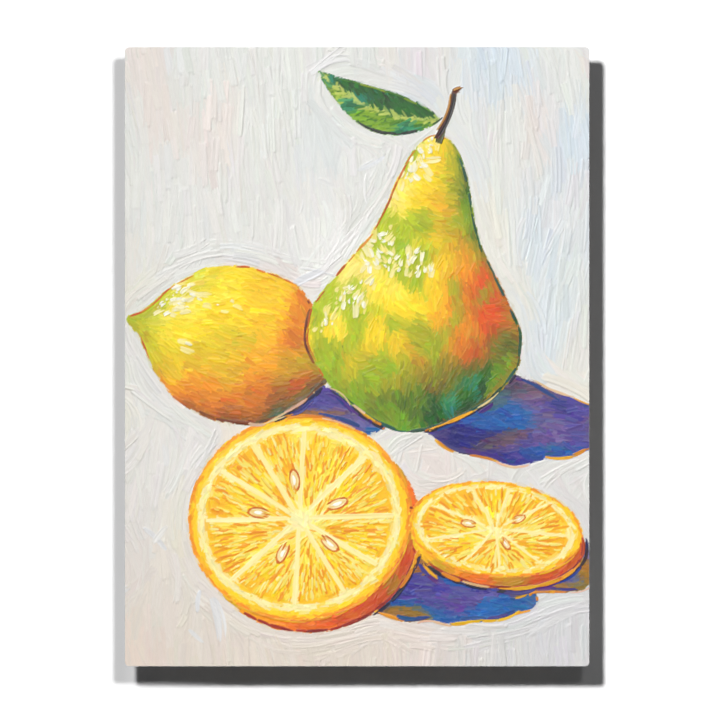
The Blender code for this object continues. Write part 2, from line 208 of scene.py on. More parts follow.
# The room is pale to look at and in reflections, and adds little light of its own.
world = bpy.data.worlds.new("pale_room")
world.use_nodes = True
tree = world.node_tree
rays = node(tree, "LightPath").outputs
first = maths(tree, "LESS_THAN", rays["Diffuse Depth"], 0.5)
shiny = maths(tree, "MULTIPLY", rays["Is Glossy Ray"], first)
mirrored = maths(tree, "MULTIPLY_ADD", shiny, 0.3, 0.05)
seen = maths(tree, "MULTIPLY_ADD", rays["Is Camera Ray"], 0.85, mirrored)
tree.nodes["Background"].inputs["Color"].default_value = (0.97, 0.98, 1.0, 1)
tree.links.new(seen, tree.nodes["Background"].inputs["Strength"])
scene.world = world
scene.view_settings.view_transform = "Standard"

# ---- Hanging wire ----
# Seven-strand galvanised wire, from one screw eye over the hook to the other. Each end loops
# round the eye's bar, comes back into its ferrule and is cut off just past it.

WIRE_DIAMETER = 0.0010
WIRE_STEP = 0.0004  # between the points of its middle line
STRAND_PITCH = 0.0048
FIT_GAP = 0.0003
EYE_RADIUS = 0.0041
EYE_BAR = 0.0009
HOOK_THICKNESS = 0.0010
HOOK_INNER = 0.0020
LOOP_RADIUS = 0.0022
LOOP_CENTRE = 0.0004
LEG_OFFSET = 0.0008
FERRULE_NEAR = 0.011
FERRULE_LENGTH = 0.008

hook_low, hook_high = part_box("wall_hook")
eye_low, eye_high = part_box("screw_eye_right")
HOOK_WIDTH = hook_high[0] - hook_low[0]
HOOK_BEND_Z = hook_low[2] + HOOK_THICKNESS + HOOK_INNER
ring_centre = (np.array(eye_low) + eye_high) / 2
ring_centre[0] = eye_low[0] + EYE_RADIUS + EYE_BAR
peak_z = HOOK_BEND_Z - HOOK_INNER + WIRE_DIAMETER / 2 + FIT_GAP
peak = np.array([0, -HOOK_THICKNESS - HOOK_INNER, peak_z])
to_hook = np.array([HOOK_WIDTH / 2, ring_centre[1], peak_z]) - ring_centre
to_hook /= np.linalg.norm(to_hook)
loop_bar = ring_centre + to_hook * EYE_RADIUS


def leg(along, offset):
    """The point this far back along the wire from the eye's bar, and this far to the wall."""
    return loop_bar + to_hook * along + np.array([0, offset, 0])


def smooth_line(points, per_span):
    """A centripetal Catmull-Rom curve. t grows by the root of each span's length, and the points
    are blended in three rounds, (a (tb - t) + b (t - ta)) / (tb - ta)."""
    points = np.asarray(points, float)
    p = np.vstack([2 * points[0] - points[1], points, 2 * points[-1] - points[-2]])
    knots = np.append(0, np.cumsum(np.sqrt(np.linalg.norm(np.diff(p, axis=0), axis=1))))
    span = np.arange(len(points) - 1)[:, None]
    ends = [knots[span + j][..., None] for j in range(4)]
    t = ends[1] + (ends[2] - ends[1]) * (np.arange(per_span) / per_span)[None, :, None]

    def blend(a, b, ta, tb):
        return (a * (tb - t) + b * (t - ta)) / (tb - ta)

    one = [blend(p[span + j], p[span + j + 1], ends[j], ends[j + 1]) for j in range(3)]
    two = [blend(one[j], one[j + 1], ends[j], ends[j + 2]) for j in range(2)]
    line = blend(two[0], two[1], ends[1], ends[2]).reshape(-1, 3)
    return np.vstack([line, points[-1]])


def evenly(line, spacing):
    """The same line with its points about this far apart all along, and its length."""
    along = np.append(0, np.cumsum(np.linalg.norm(np.diff(line, axis=0), axis=1)))
    places = np.linspace(0, along[-1], int(along[-1] / spacing) + 1)
    return np.stack([np.interp(places, along, line[:, k]) for k in range(3)], 1), along[-1]


def carried(line):
    """Two normals along a line, carried along it without twisting about it."""
    tangents = np.gradient(line, axis=0)
    tangents /= np.linalg.norm(tangents, axis=1, keepdims=True)
    normal = np.cross(tangents[0], (0.31, 0.92, 0.22))
    normals = []
    for tangent in tangents:
        normal = normal - tangent * (normal @ tangent)
        normal /= np.linalg.norm(normal)
        normals.append(normal)
    return np.array(normals), np.cross(tangents, normals)


def skin(rings, closed=False):
    """Vertices and faces through rings of points; the last ring joins the first one, or both
    ends are filled."""
    k = np.arange(rings[..., 0].size).reshape(rings.shape[:2])
    first, second = (k, np.roll(k, -1, 0)) if closed else (k[:-1], k[1:])
    quads = np.stack([first, np.roll(first, -1, 1), np.roll(second, -1, 1), second], -1)
    ends = [] if closed else [k[0][::-1].tolist(), k[-1].tolist()]
    return rings.reshape(-1, 3), quads.reshape(-1, 4).tolist() + ends


def once_round(sides):
    """The cosine and the sine of angles evenly round a circle."""
    turn = np.linspace(0, 2 * np.pi, sides, endpoint=False)
    return np.cos(turn), np.sin(turn)


def rod(line, radius, sides):
    """A closed round rod along a line; radius may change along it."""
    normals, sideways = carried(line)
    cosine, sine = once_round(sides)
    out = cosine[:, None] * normals[:, None] + sine[:, None] * sideways[:, None]
    return skin(line[:, None] + out * np.broadcast_to(radius, len(line))[:, None, None])


def solid(name, parts, material, slot, *stands_for):
    """One piece of the object from parts of vertices and faces, with its faces turned outwards
    and shaded smooth across edges that bend less than 35 degrees."""
    vertices, faces = [], []
    for some, theirs in parts:
        faces += [[corner + len(vertices) for corner in face] for face in theirs]
        vertices += some.tolist()
    mesh = bpy.data.meshes.new(name)
    mesh.from_pydata(vertices, [], faces)
    turned = bmesh.new()
    turned.from_mesh(mesh)
    bmesh.ops.recalc_face_normals(turned, faces=turned.faces)
    turned.to_mesh(mesh)
    turned.free()
    mesh.shade_smooth()
    mesh.set_sharp_from_angle(angle=math.radians(35))
    return placed(name, mesh, material, slot, *stands_for)


def placed(name, mesh, material, slot, *stands_for):
    """A mesh as a piece of the object, in the place of the solids that it stands for."""
    mesh.materials.append(material)
    made = bpy.data.objects.new(name, mesh)
    scene.collection.objects.link(made)
    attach(made, "root")
    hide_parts(*stands_for)
    return made


def noise(tree, place, scale, detail, rough=0.5):
    """A noise's value, one half on the whole."""
    inputs = {"Vector": place, "Scale": scale, "Detail": detail, "Roughness": rough}
    return node(tree, "TexNoise", inputs).outputs[0]


def blended(tree, amount, under, over):
    """under with this amount of over on it; both are colours."""
    return node(tree, "Mix", {"Factor": amount, 6: under, 7: over}, data_type="RGBA").outputs[2]


def finish(tree, colour, rough, height, depth, strength, **others):
    """A Principled shader with a bump of this depth, on the tree's output."""
    bump = node(tree, "Bump", {"Height": height, "Distance": depth, "Strength": strength}).outputs[0]
    inputs = {"Base Color": colour, "Roughness": rough, "Normal": bump, **others}
    shader = node(tree, "BsdfPrincipled", inputs)
    node(tree, "OutputMaterial", {"Surface": shader.outputs[0]})


def new_group(name, sockets):
    """A node group with (name, "INPUT" or "OUTPUT", kind) sockets, its inlet and its outlet."""
    group = bpy.data.node_groups.new(name, "ShaderNodeTree")
    for label, way_in, kind in sockets:
        group.interface.new_socket(label, in_out=way_in, socket_type=f"NodeSocket{kind}")
    return group, group.nodes.new("NodeGroupInput").outputs, group.nodes.new("NodeGroupOutput").inputs


# Marks that every hard surface shares: soft patches, a fine grain and two sets of hair
# scratches, each where a noise that is drawn out one way comes near one value.
wear, inlet, outlet = new_group(
    "wear",
    (
        ("Stretch", "INPUT", "Vector"),
        ("Patches", "OUTPUT", "Float"),
        ("Grain", "OUTPUT", "Float"),
        ("Scratches", "OUTPUT", "Float"),
    ),
)
place = node(wear, "TexCoord").outputs["Object"]
drawn = vector_maths(wear, "MULTIPLY", place, inlet["Stretch"])
wear.links.new(noise(wear, drawn, 260.0, 4.0), outlet["Patches"])
wear.links.new(noise(wear, drawn, 2400.0, 3.0), outlet["Grain"])
hair = []
for turn, scale in ((0.5, 900.0), (-0.8, 1300.0)):
    turned = node(wear, "VectorRotate", {"Vector": place, "Angle": turn}, rotation_type="Y_AXIS")
    thin = vector_maths(wear, "MULTIPLY", turned.outputs[0], (1, 1, 0.04))
    hair.append(maths(wear, "COMPARE", noise(wear, thin, scale, 1.0), 0.64, 0.008))
wear.links.new(maths(wear, "MAXIMUM", *hair), outlet["Scratches"])


def hard(name, light, dark, rough, metallic, stretch=(1, 1, 1), bump=0.00001, scratched=0.4, vary=0.08):
    """A hard surface: light to dark and smoother to rougher in patches, with a fine grain that
    stands up a little, and paler scratches."""
    material, tree = new_material(name)
    marks = node(tree, "Group", node_tree=wear)
    marks.inputs["Stretch"].default_value = stretch
    patchy, grain, scratches = marks.outputs
    base = blended(tree, remap(tree, patchy, 0.35, 0.68), (*light, 1), (*dark, 1))
    grained = vector_maths(tree, "MULTIPLY", base, remap(tree, grain, 0.3, 0.7, 0.88, 1.08))
    rubbed = maths(tree, "MULTIPLY", scratches, scratched)
    final = blended(tree, rubbed, grained, (*[min(1, 1.25 * part) for part in light], 1))
    matt = remap(tree, patchy, 0.3, 0.7, rough - vary, rough + vary)
    finish(tree, final, matt, grain, bump, 0.7, Metallic=metallic)
    return material


crimp_far = FERRULE_NEAR + FERRULE_LENGTH
right_half = [
    peak,
    peak + (HOOK_WIDTH / 2 + 0.0005, 0, 0),
    peak + (HOOK_WIDTH / 2 + 0.003, -0.0002, -0.0007),
    leg(0.060, 0.0040),
    leg(0.035, 0.0018),
    leg(crimp_far + 0.003, LEG_OFFSET + 0.0002),
    leg(crimp_far - 0.001, LEG_OFFSET),
    leg(FERRULE_NEAR, LEG_OFFSET),
    leg(0.0065, 0.0016),
    leg(0.0030, LOOP_RADIUS * 0.98),
]
for degrees in (90, 50, 10, -30, -70):
    turn = math.radians(degrees)
    right_half.append(leg(LOOP_CENTRE - LOOP_RADIUS * math.cos(turn), LOOP_RADIUS * math.sin(turn)))
right_half += [
    leg(0.0030, -LOOP_RADIUS * 0.98),
    leg(0.0065, -0.0016),
    leg(FERRULE_NEAR, -LEG_OFFSET),
    leg(crimp_far - 0.001, -LEG_OFFSET),
    leg(crimp_far + 0.002, -LEG_OFFSET),
]
left_half = [point * (-1, 1, 1) for point in right_half[:0:-1]]
wire_line, wire_length = evenly(smooth_line(left_half + right_half, 12), WIRE_STEP)
normals, sideways = carried(wire_line)
strand = WIRE_DIAMETER / 6
strands = [rod(wire_line, strand, 6)]
for k in range(6):
    turn = (np.arange(len(wire_line)) * WIRE_STEP / STRAND_PITCH * 2 * np.pi + k * np.pi / 3)[:, None]
    centre = wire_line + 2 * strand * (np.cos(turn) * normals + np.sin(turn) * sideways)
    strands.append(rod(centre, strand, 6))
zinc = hard("galvanised_steel", (0.66, 0.68, 0.70), (0.42, 0.44, 0.46), 0.36, 0.95)
wire = solid("stranded_wire", strands, zinc, "steel", "hanging_wire")

# ---- Ferrules ----
# Oval sleeves of soft aluminium, pressed on to the wire's two legs. Each has three crimp dents
# and rounded ends, and the two legs run in through its bore.

FERRULE_WALL = 0.0006
STATIONS = 25  # points along it, once outside and once inside
bore_short = WIRE_DIAMETER / 2 + 0.00005
bright_aluminium = hard("soft_aluminium", (0.80, 0.80, 0.80), (0.62, 0.63, 0.64), 0.34, 0.98)
along = np.linspace(-0.5, 0.5, STATIONS)
dents = 0.35 * np.exp(-(((along[:, None] - (-0.27, 0, 0.27)) / 0.055) ** 2)).sum(1)
ends = np.sqrt(1 - (np.abs(along) * 2).clip(0.0, 1) ** 24)
# One closed loop of points, back along the bore: each one's place along it and its wall there.
loop_along = np.append(along, along[::-1]) * FERRULE_LENGTH
loop_wall = np.append(FERRULE_WALL * (0.45 + 0.55 * ends) * (1 - dents), np.zeros(STATIONS))
cosine, sine = once_round(28)
x = (bore_short + loop_wall[:, None]) * cosine
y = (bore_short + loop_wall[:, None]) * sine + np.tanh(4 * sine) * LEG_OFFSET
for side, name in ((-1, "left"), (1, "right")):
    axis = to_hook * (side, 1, 1)
    across = np.cross((0, 1, 0), axis)
    centre = leg(FERRULE_NEAR + FERRULE_LENGTH / 2, 0) * (side, 1, 1)
    rings = centre + loop_along[:, None, None] * axis + x[..., None] * across
    rings = rings + y[..., None] * np.cross(axis, across)
    sleeve = skin(rings, closed=True)
    solid(f"crimped_ferrule_{name}", [sleeve], bright_aluminium, "ferrule", f"ferrule_{name}")

# ---- Screw eyes ----
# A zinc-plated rod for each: a threaded shank in the stile, then a neck that bends into a ring,
# which comes round almost to the neck again.

THREAD_PITCH = 0.0011
THREAD_DEPTH = 0.00029
shank_tip = eye_high[0]
inner_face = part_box("right_stile")[0][0]
rod_places = [
    (shank_tip, 0), (inner_face + 0.006, 0), (inner_face, 0), (inner_face - 0.0013, -0.0002)
]
for degrees in range(-28, -351, -23):
    turn = math.radians(degrees)
    rod_places.append((ring_centre[0] + EYE_RADIUS * math.cos(turn), EYE_RADIUS * math.sin(turn)))
for side, name in ((-1, "left"), (1, "right")):
    points = [(side * x, ring_centre[1], ring_centre[2] + z) for x, z in rod_places]
    line, _ = evenly(smooth_line(points, 14), 0.00025)
    depth = np.abs(line[:, 0]) - inner_face
    on_shank = (depth > -0.0002) & (np.arange(len(line)) < len(line) / 2)
    thread = THREAD_DEPTH * (0.5 + 0.5 * np.cos(depth / THREAD_PITCH * 2 * np.pi))
    radius = EYE_BAR + np.where(on_shank, thread, 0) * np.where(depth < 0.0006, 1.0, 0.8)
    radius = radius * np.interp(np.abs(line[:, 0]), (shank_tip - 0.003, shank_tip), (1, 0.15))
    solid(f"bent_screw_eye_{name}", [rod(line, radius, 14)], zinc, "steel", f"screw_eye_{name}")

# ---- Wall hook ----
# A strip of brass-plated steel, cut with round corners and bent up into a trough and a lip. The
# strip's section is a flat oval, narrowed towards both ends.

TRACK = HOOK_THICKNESS / 2  # from the wall to the strip's middle
HOOK_CORNER = 0.0022


def squared(part, power):
    """A cosine or a sine raised to a power below 1 with its sign kept, for a squarer round."""
    return np.sign(part) * np.abs(part) ** power


bend = HOOK_INNER + TRACK
trough = HOOK_THICKNESS + HOOK_INNER
turns = np.linspace(0, np.pi, 19)
down = np.linspace(hook_high[2], HOOK_BEND_Z, 30)[:-1]
lip = np.linspace(0, 1, 8)[1:]
from_wall = np.concatenate(
    [down * 0 + TRACK, trough - bend * np.cos(turns), trough + bend + lip * 0.0006]
)
height = np.concatenate([down, HOOK_BEND_Z - bend * np.sin(turns), HOOK_BEND_Z + lip * 0.0035])
track, strip_length = evenly(np.stack([0 * height, -from_wall, height], 1), 0.0004)
from_top = np.linspace(0, strip_length, len(track))
half_width = HOOK_WIDTH / 2 + 0 * from_top
for to_end in (from_top, strip_length - from_top):
    lacking = (HOOK_CORNER - to_end).clip(0)
    half_width = half_width - (HOOK_CORNER - np.sqrt((HOOK_CORNER**2 - lacking**2).clip(0)))
along = np.gradient(track, axis=0)
along /= np.linalg.norm(along, axis=1, keepdims=True)
outwards = np.cross(along, (1, 0, 0))
wide, thick = [squared(part, 0.35) for part in once_round(32)]
rings = track[:, None] + (half_width[:, None] * wide)[..., None] * (1, 0, 0)
rings = rings + (TRACK * thick)[None, :, None] * outwards[:, None]
brass = hard("brass_plate", (0.80, 0.60, 0.28), (0.62, 0.43, 0.17), 0.27, 1.0)
solid("bent_wall_hook", [skin(rings)], brass, "hook", "wall_hook")

# ---- Hook nail ----
# A plated nail with a low domed head, through the hook's plate and into the wall.

NAIL_RADIUS = 0.0007
nail_low, nail_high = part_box("hook_nail")
nail_tip = nail_high[1]


def lathed(profile, sides, centre):
    """A closed turned solid about the line along Y through centre, from (y, radius) points."""
    y, radius = np.array(profile, float).T[..., None]
    cosine, sine = once_round(sides)
    x, z = centre[0] + radius * cosine, centre[1] + radius * sine
    return skin(np.stack([x, np.broadcast_to(y, x.shape), z], -1))


nail_profile = [(nail_tip, 0.00005), (nail_tip - 0.003, NAIL_RADIUS)]
for out, radius in (
    (0.0001, NAIL_RADIUS), (0.0001, 0.0017), (0.0002, 0.00188), (0.0005, 0.0019),
    (0.0008, 0.0016), (0.0010, 0.0010), (0.0011, 0.0003),
):
    nail_profile.append((-HOOK_THICKNESS - out, radius))
nail = lathed(nail_profile, 24, (0, (nail_low[2] + nail_high[2]) / 2))
solid("plated_nail", [nail], zinc, "steel", "hook_nail")

# ---- Staples ----
# Heavy galvanised staples across the mitres, driven until their crowns bite a little into the
# timber. The crown sags slightly and its legs are hidden in the rails.

CORNERS = ("top_left", "top_right", "bottom_left", "bottom_right")
frame_back = -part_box("top_rail")[1][1]
half_staple = [(0.0055, -0.0002), (0.0063, 0.0004), (0.0065, 0.0015), (0.0065, 0.0060)]
staple = [(-along, depth) for along, depth in half_staple[::-1]] + [(0, -0.0001)] + half_staple
for corner in CORNERS:
    low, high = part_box(f"staple_{corner}")
    middle_x, middle_z = (low[0] + high[0]) / 2, (low[2] + high[2]) / 2
    lean = 1 if middle_x * (middle_z - MIDDLE_Z) < 0 else -1
    across = np.array([lean, 0, 1]) / math.sqrt(2)
    points = [
        np.array([middle_x, -frame_back - depth, middle_z]) + along * across for along, depth in staple
    ]
    line, _ = evenly(smooth_line(points, 8), 0.0005)
    solid(f"driven_staple_{corner}", [rod(line, 0.00056, 10)], zinc, "steel", f"staple_{corner}")

# ---- Bumpers ----
# Self-adhesive grey rubber buttons, flat on the timber and rounded where they meet the wall.

ROUNDING = 0.0011
rubber = hard(
    "grey_rubber", (0.20, 0.20, 0.20), (0.14, 0.14, 0.145), 0.62, 0.0, bump=0.00004, scratched=0.15
)
for corner in CORNERS:
    low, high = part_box(f"bumper_{corner}")
    centre = ((low[0] + high[0]) / 2, (low[2] + high[2]) / 2)
    radius = (high[0] - low[0]) / 2
    profile = [(0, 0.0002), (0, radius * 0.5)]
    for turn in np.linspace(0, np.pi / 2, 7):
        profile.append((-ROUNDING * (1 - math.cos(turn)), radius - ROUNDING * (1 - math.sin(turn))))
    profile += [(-frame_back, radius), (-frame_back, 0.0002)]
    button = lathed(profile, 40, centre)
    solid(f"rubber_button_{corner}", [button], rubber, "bumper", f"bumper_{corner}")

# ---- Foam tape ----
# Double-sided foam strips, squeezed between the frame and the sheet, so their sides bulge. The
# foam is white and full of fine cells, and each cell's hollow is darkened in its colour as painted
# shade.

front_of_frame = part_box("top_rail")[0][1]
back_of_sheet = sheet_high[1]
foam, tree = new_material("white_foam")
place = node(tree, "TexCoord").outputs["Object"]
bubbles = node(tree, "TexVoronoi", {"Vector": place, "Scale": 2600.0}).outputs["Distance"]
stain = noise(tree, place, 60.0, 3.0)
base = blended(tree, stain, (0.80, 0.79, 0.75, 1), (0.70, 0.68, 0.60, 1))
# Painted shade: the colour darkens towards each cell's middle, where the bump sinks into a pit.
pit_shaded = vector_maths(tree, "MULTIPLY", base, remap(tree, bubbles, 0.0, 0.7, 0.72, 1.05))
finish(tree, pit_shaded, 0.85, bubbles, 0.0001, 1.0)
wide, thick = [squared(part, 0.25) for part in once_round(20)]
for name in ("top", "bottom", "left", "right"):
    low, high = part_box(f"{name}_tape")
    size = high - low
    long, short = (2, 0) if size[2] > size[0] else (0, 2)
    stations = np.linspace(-size[long] / 2, size[long] / 2, 120)
    wander = 0.0003 * np.sin(stations * 90 + low[0] * 50) * np.sin(stations * 37 + 1)
    rings = np.empty((stations.size, wide.size, 3))
    rings[..., long] = stations[:, None]
    rings[..., short] = size[short] / 2 * wide + wander[:, None]
    rings[..., 1] = (front_of_frame + back_of_sheet + (front_of_frame - back_of_sheet) * thick) / 2
    rings += np.array([(low[0] + high[0]) / 2, 0, (low[2] + high[2]) / 2])
    solid(f"foam_strip_{name}", [skin(rings)], foam, "tape", f"{name}_tape")

# ---- Timber frame ----
# Four planed pine rails, mitred at the corners. The grain is a log's growth rings cut by the
# plank, drawn out along each rail, with fine fibres and a few darker streaks of resin.

pine, inlet, outlet = new_group(
    "pine", (("Place", "INPUT", "Vector"), ("Colour", "OUTPUT", "Color"), ("Height", "OUTPUT", "Float"))
)
place = inlet["Place"]
slow = vector_maths(pine, "MULTIPLY", place, (22, 22, 4.5))
bends = node(pine, "TexNoise", {"Vector": slow, "Scale": 1.0, "Detail": 2.0}).outputs["Color"]
bent = vector_maths(pine, "MULTIPLY_ADD", bends, (0.022, 0.022, 0), place)
reach = vector_maths(pine, "LENGTH", vector_maths(pine, "MULTIPLY", bent, (1, 1, 0)))
swing = maths(pine, "SINE", maths(pine, "MULTIPLY", reach, 520.0))
years = maths(pine, "MULTIPLY", reach, 370.0)
year = maths(pine, "FRACT", maths(pine, "MULTIPLY_ADD", swing, 0.42, years))
late = remap(pine, year, 0.35, 0.93, interpolation_type="SMOOTHSTEP")
band = maths(pine, "MULTIPLY", late, remap(pine, year, 0.93, 1.0, 1.0, 0.0))
drawn = vector_maths(pine, "MULTIPLY", place, (1, 1, 0.03))
fibre = noise(pine, drawn, 2200.0, 3.0)
resin = remap(pine, noise(pine, drawn, 260.0, 2.0), 0.55, 0.75, 0.0, 0.35)
wood = blended(pine, band, (0.78, 0.56, 0.32, 1), (0.56, 0.30, 0.12, 1))
streaked = blended(pine, resin, wood, (0.60, 0.36, 0.16, 1))
coloured = vector_maths(pine, "MULTIPLY", streaked, remap(pine, fibre, 0.3, 0.7, 0.86, 1.07))
pine.links.new(coloured, outlet["Colour"])
pine.links.new(fibre, outlet["Height"])

for name, lengthwise, heart in (
    ("top_rail", ("Z", "Y", "X"), (0.13, 0.035, 0.05)),
    ("bottom_rail", ("Z", "Y", "X"), (0.36, -0.03, 0.4)),
    ("left_stile", ("X", "Y", "Z"), (0.16, 0.05, 0.1)),
    ("right_stile", ("X", "Y", "Z"), (-0.14, -0.03, 0.7)),
):
    material, tree = new_material(f"pine_{name}")
    parts = node(tree, "SeparateXYZ", {0: node(tree, "TexCoord").outputs["Object"]}).outputs
    turned = node(tree, "CombineXYZ", {k: parts[axis] for k, axis in enumerate(lengthwise)})
    from_heart = vector_maths(tree, "ADD", turned.outputs[0], heart)
    grain = node(tree, "Group", node_tree=pine)
    tree.links.new(from_heart, grain.inputs["Place"])
    finish(tree, grain.outputs["Colour"], 0.62, grain.outputs["Height"], 0.00008, 0.6)
    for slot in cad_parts[name].material_slots:
        slot.material = material

# ---- Aluminium sheet ----
# A guillotined 1.6 mm sheet with rounded corners and broken edges. Its back keeps the mill's
# rolling lines, which run up and down.

SHEET_CORNER = 0.0028
EDGE = 0.00015


def rounded_outline(half_wide, half_tall, radius, steps):
    """Points round a rectangle with rounded corners, counter-clockwise from the lower right."""
    turn = np.linspace(0, np.pi / 2, steps + 1)
    sides = []
    for k, (right, up) in enumerate(((1, 1), (-1, 1), (-1, -1), (1, -1))):
        bearing = turn + k * np.pi / 2
        x = right * (half_wide - radius) + radius * np.cos(bearing)
        z = up * (half_tall - radius) + radius * np.sin(bearing)
        sides.append(np.stack([x, z], 1))
    return np.concatenate(sides)


rings = []
for y, inset in (
    (sheet_high[1], EDGE),
    (sheet_high[1] - EDGE * 0.3, EDGE * 0.3),
    (sheet_high[1] - EDGE, 0),
    (sheet_low[1] + EDGE, 0),
    (sheet_low[1] + EDGE * 0.3, EDGE * 0.3),
    (sheet_low[1], EDGE),
):
    outline = rounded_outline(SHEET_WIDTH / 2 - inset, SHEET_HEIGHT / 2 - inset, SHEET_CORNER - inset, 12)
    rings.append(np.stack([outline[:, 0], 0 * outline[:, 0] + y, outline[:, 1] + MIDDLE_Z], 1))
mill = hard(
    "mill_aluminium", (0.78, 0.79, 0.80), (0.72, 0.73, 0.74), 0.40, 0.97,
    stretch=(2.5, 1, 0.012), bump=0.000005, scratched=0.25, vary=0.03,
)
solid("cut_sheet", [skin(np.array(rings))], mill, "sheet", "aluminium_sheet")

# ---- The picture's plan ----
# The painter's plan of a still life: a pear, a lemon, a halved orange and a slice, lit from the
# upper left, on a white cloth. Here every place on the sheet gets the colour it should have and
# the way a brush should run there. Plan sizes are in millimetres about the sheet's middle.

COLUMNS = 564  # mesh cells across the picture
ROWS = 750  # and up it
WIDTH_MM = SHEET_WIDTH * 1000
HEIGHT_MM = SHEET_HEIGHT * 1000
CELL_X = WIDTH_MM / COLUMNS
CELL_Z = HEIGHT_MM / ROWS
X, Z = np.meshgrid(
    np.linspace(-WIDTH_MM / 2, WIDTH_MM / 2, COLUMNS + 1, dtype=np.float32),
    np.linspace(-HEIGHT_MM / 2, HEIGHT_MM / 2, ROWS + 1, dtype=np.float32),
)
LIGHT = np.array([-0.57, 0.64, 0.46])  # towards the lamp: right, up, towards the eye


def tint(red, green, blue):
    """A tube colour from its three parts out of 255."""
    return np.array([red, green, blue], np.float32) / 255


def clouds(rows, columns, tall, wide, seed):
    """Soft noise from 0 to 1 whose patches are about tall by wide cells: white noise, blurred by
    a Gaussian in the frequency domain and scaled by its own deviation about one half."""
    white = np.random.default_rng(seed).standard_normal((rows, columns))
    up = np.fft.fftfreq(rows)[:, None] * tall
    across = np.fft.rfftfreq(columns)[None, :] * wide
    kept = np.exp(-2 * np.pi**2 * (up**2 + across**2))
    field = np.fft.irfft2(np.fft.rfft2(white) * kept, s=(rows, columns))
    return (0.5 + 0.22 * field / field.std()).clip(0, 1).astype(np.float32)


def patches(tall, wide, seed):
    """Noise over the plan, made on a slightly larger grid whose sides transform fast."""
    return clouds(768, 576, tall, wide, seed)[: ROWS + 1, : COLUMNS + 1]


def rise(low, high, value):
    """0 up to low, 1 from high on, and an S-shaped rise between them."""
    t = ((value - low) / (high - low)).clip(0, 1)
    return t * t * (3 - 2 * t)


def ramp(value, *stops):
    """A colour for each value: straight runs between (value, red, green, blue) stops."""
    places, *parts = zip(*stops)
    parts = [np.interp(value, places, np.array(part, np.float32) / 255) for part in parts]
    return np.stack(parts, -1).astype(np.float32)


def mix(under, over, amount):
    """under with this amount of a tube colour on it, place by place."""
    return under + (tint(*over) - under) * np.asarray(amount, np.float32)[..., None]


def turned_plan(centre, degrees):
    """Coordinates about a centre, along an axis turned by degrees and across it."""
    cosine, sine = math.cos(math.radians(degrees)), math.sin(math.radians(degrees))
    right, up = X - centre[0], Z - centre[1]
    return right * cosine + up * sine, up * cosine - right * sine


# The cloth: warm white below, cooler above, with faint blue, cream and pink patches and a greyer
# lower right. Brushes run up and down on it.
share_up = (Z + HEIGHT_MM / 2) / HEIGHT_MM
target = ramp(
    share_up,
    (0, 222, 211, 199), (0.3, 227, 224, 219), (0.65, 226, 225, 220), (1, 224, 225, 220),
)
cool = 0.7 * patches(40, 24, 2) + 0.42 * rise(-20, 150, X) * rise(-60, 150, Z)
target = mix(target, (208, 220, 231), 0.8 * rise(0.62, 0.86, cool))
target = mix(target, (240, 232, 204), 0.35 * rise(0.62, 0.88, patches(38, 26, 4)))
target = mix(target, (236, 212, 202), 0.35 * rise(0.7, 0.9, patches(42, 26, 3)))
target = mix(target, (242, 241, 237), 0.5 * rise(0.6, 0.8, patches(70, 60, 1)))
target = mix(target, (209, 210, 213), 0.85 * rise(0, 130, X) * rise(0.45, 0.05, share_up))
way = np.radians(90 + 20 * (patches(60, 60, 5) - 0.5))
which = np.zeros(X.shape, np.int8)  # the shape that shows at each place; 0 is the cloth
into_motif = np.full(X.shape, -1000.0, np.float32)  # distance into the nearest shape
into_shape = {}  # each shape's number, and the distance into what shows of it


def put(depth, colour, angle, number):
    """Lays a shape over the plan where depth, the distance into it, is above 0."""
    global target, way, into_motif
    inside = depth > 0
    target = np.where(inside[..., None], colour, target).astype(np.float32)
    way = np.where(inside, angle, way)
    which[inside] = number
    into_motif = np.maximum(into_motif, depth)
    for other in into_shape:
        into_shape[other] = np.minimum(into_shape[other], -depth)
    into_shape[number] = np.maximum(into_shape.get(number, depth), depth)


def oval(centre, degrees, long, short):
    """Distance into an ellipse, coordinates along and across it as shares of its half axes, and
    the share of the way out from its middle. The distance is that share's gap from 1 over the
    length of its gradient."""
    along, across = turned_plan(centre, degrees)
    out = np.sqrt((along / long) ** 2 + (across / short) ** 2).clip(1e-4)
    gradient = np.sqrt((along / long**2) ** 2 + (across / short**2) ** 2) / out
    return (1 - out) / gradient.clip(1e-4), along / long, across / short, out


def round_fruit(centre, degrees, length, places, half_widths):
    """A turned fruit seen from its side. Its half width is a smoothed curve through the given
    ones, closed at both ends like a blunt ellipse. The surface leans out by its share of the
    half width and along the axis by the half width's slope. Gives the distance into it, how much
    of the light it faces, the place along it, the share across it and its meridians' way."""
    along, across = turned_plan(centre, degrees)
    t = along / length + 0.5
    steps = np.linspace(0, 1, 400)
    window = np.hanning(41) / np.hanning(41).sum()
    smoothed = np.convolve(np.pad(np.interp(steps, places, half_widths), 20, "edge"), window, "valid")
    outline = smoothed * np.sqrt(1 - np.abs(2 * steps - 1) ** 3.2)
    half = np.interp(t, steps, outline, 0, 0)
    slope = np.interp(t, steps, np.gradient(outline, steps * length))
    beyond = (np.abs(t - 0.5) - 0.5).clip(0) * length
    depth = (half - np.abs(across)) / np.sqrt(1 + slope.clip(-3, 3) ** 2) - beyond
    share = (across / half.clip(1e-3)).clip(-1, 1)
    leaning = np.stack([-slope, share, np.sqrt(1 - share**2)])
    leaning /= np.linalg.norm(leaning, axis=0)
    cosine, sine = math.cos(math.radians(degrees)), math.sin(math.radians(degrees))
    light = LIGHT / np.linalg.norm(LIGHT)
    along_light = light[0] * cosine + light[1] * sine
    across_light = light[1] * cosine - light[0] * sine
    lit = leaning[0] * along_light + leaning[1] * across_light + leaning[2] * light[2]
    meridian = np.arctan(share * slope) + math.radians(degrees)
    return depth, lit, t, share, meridian


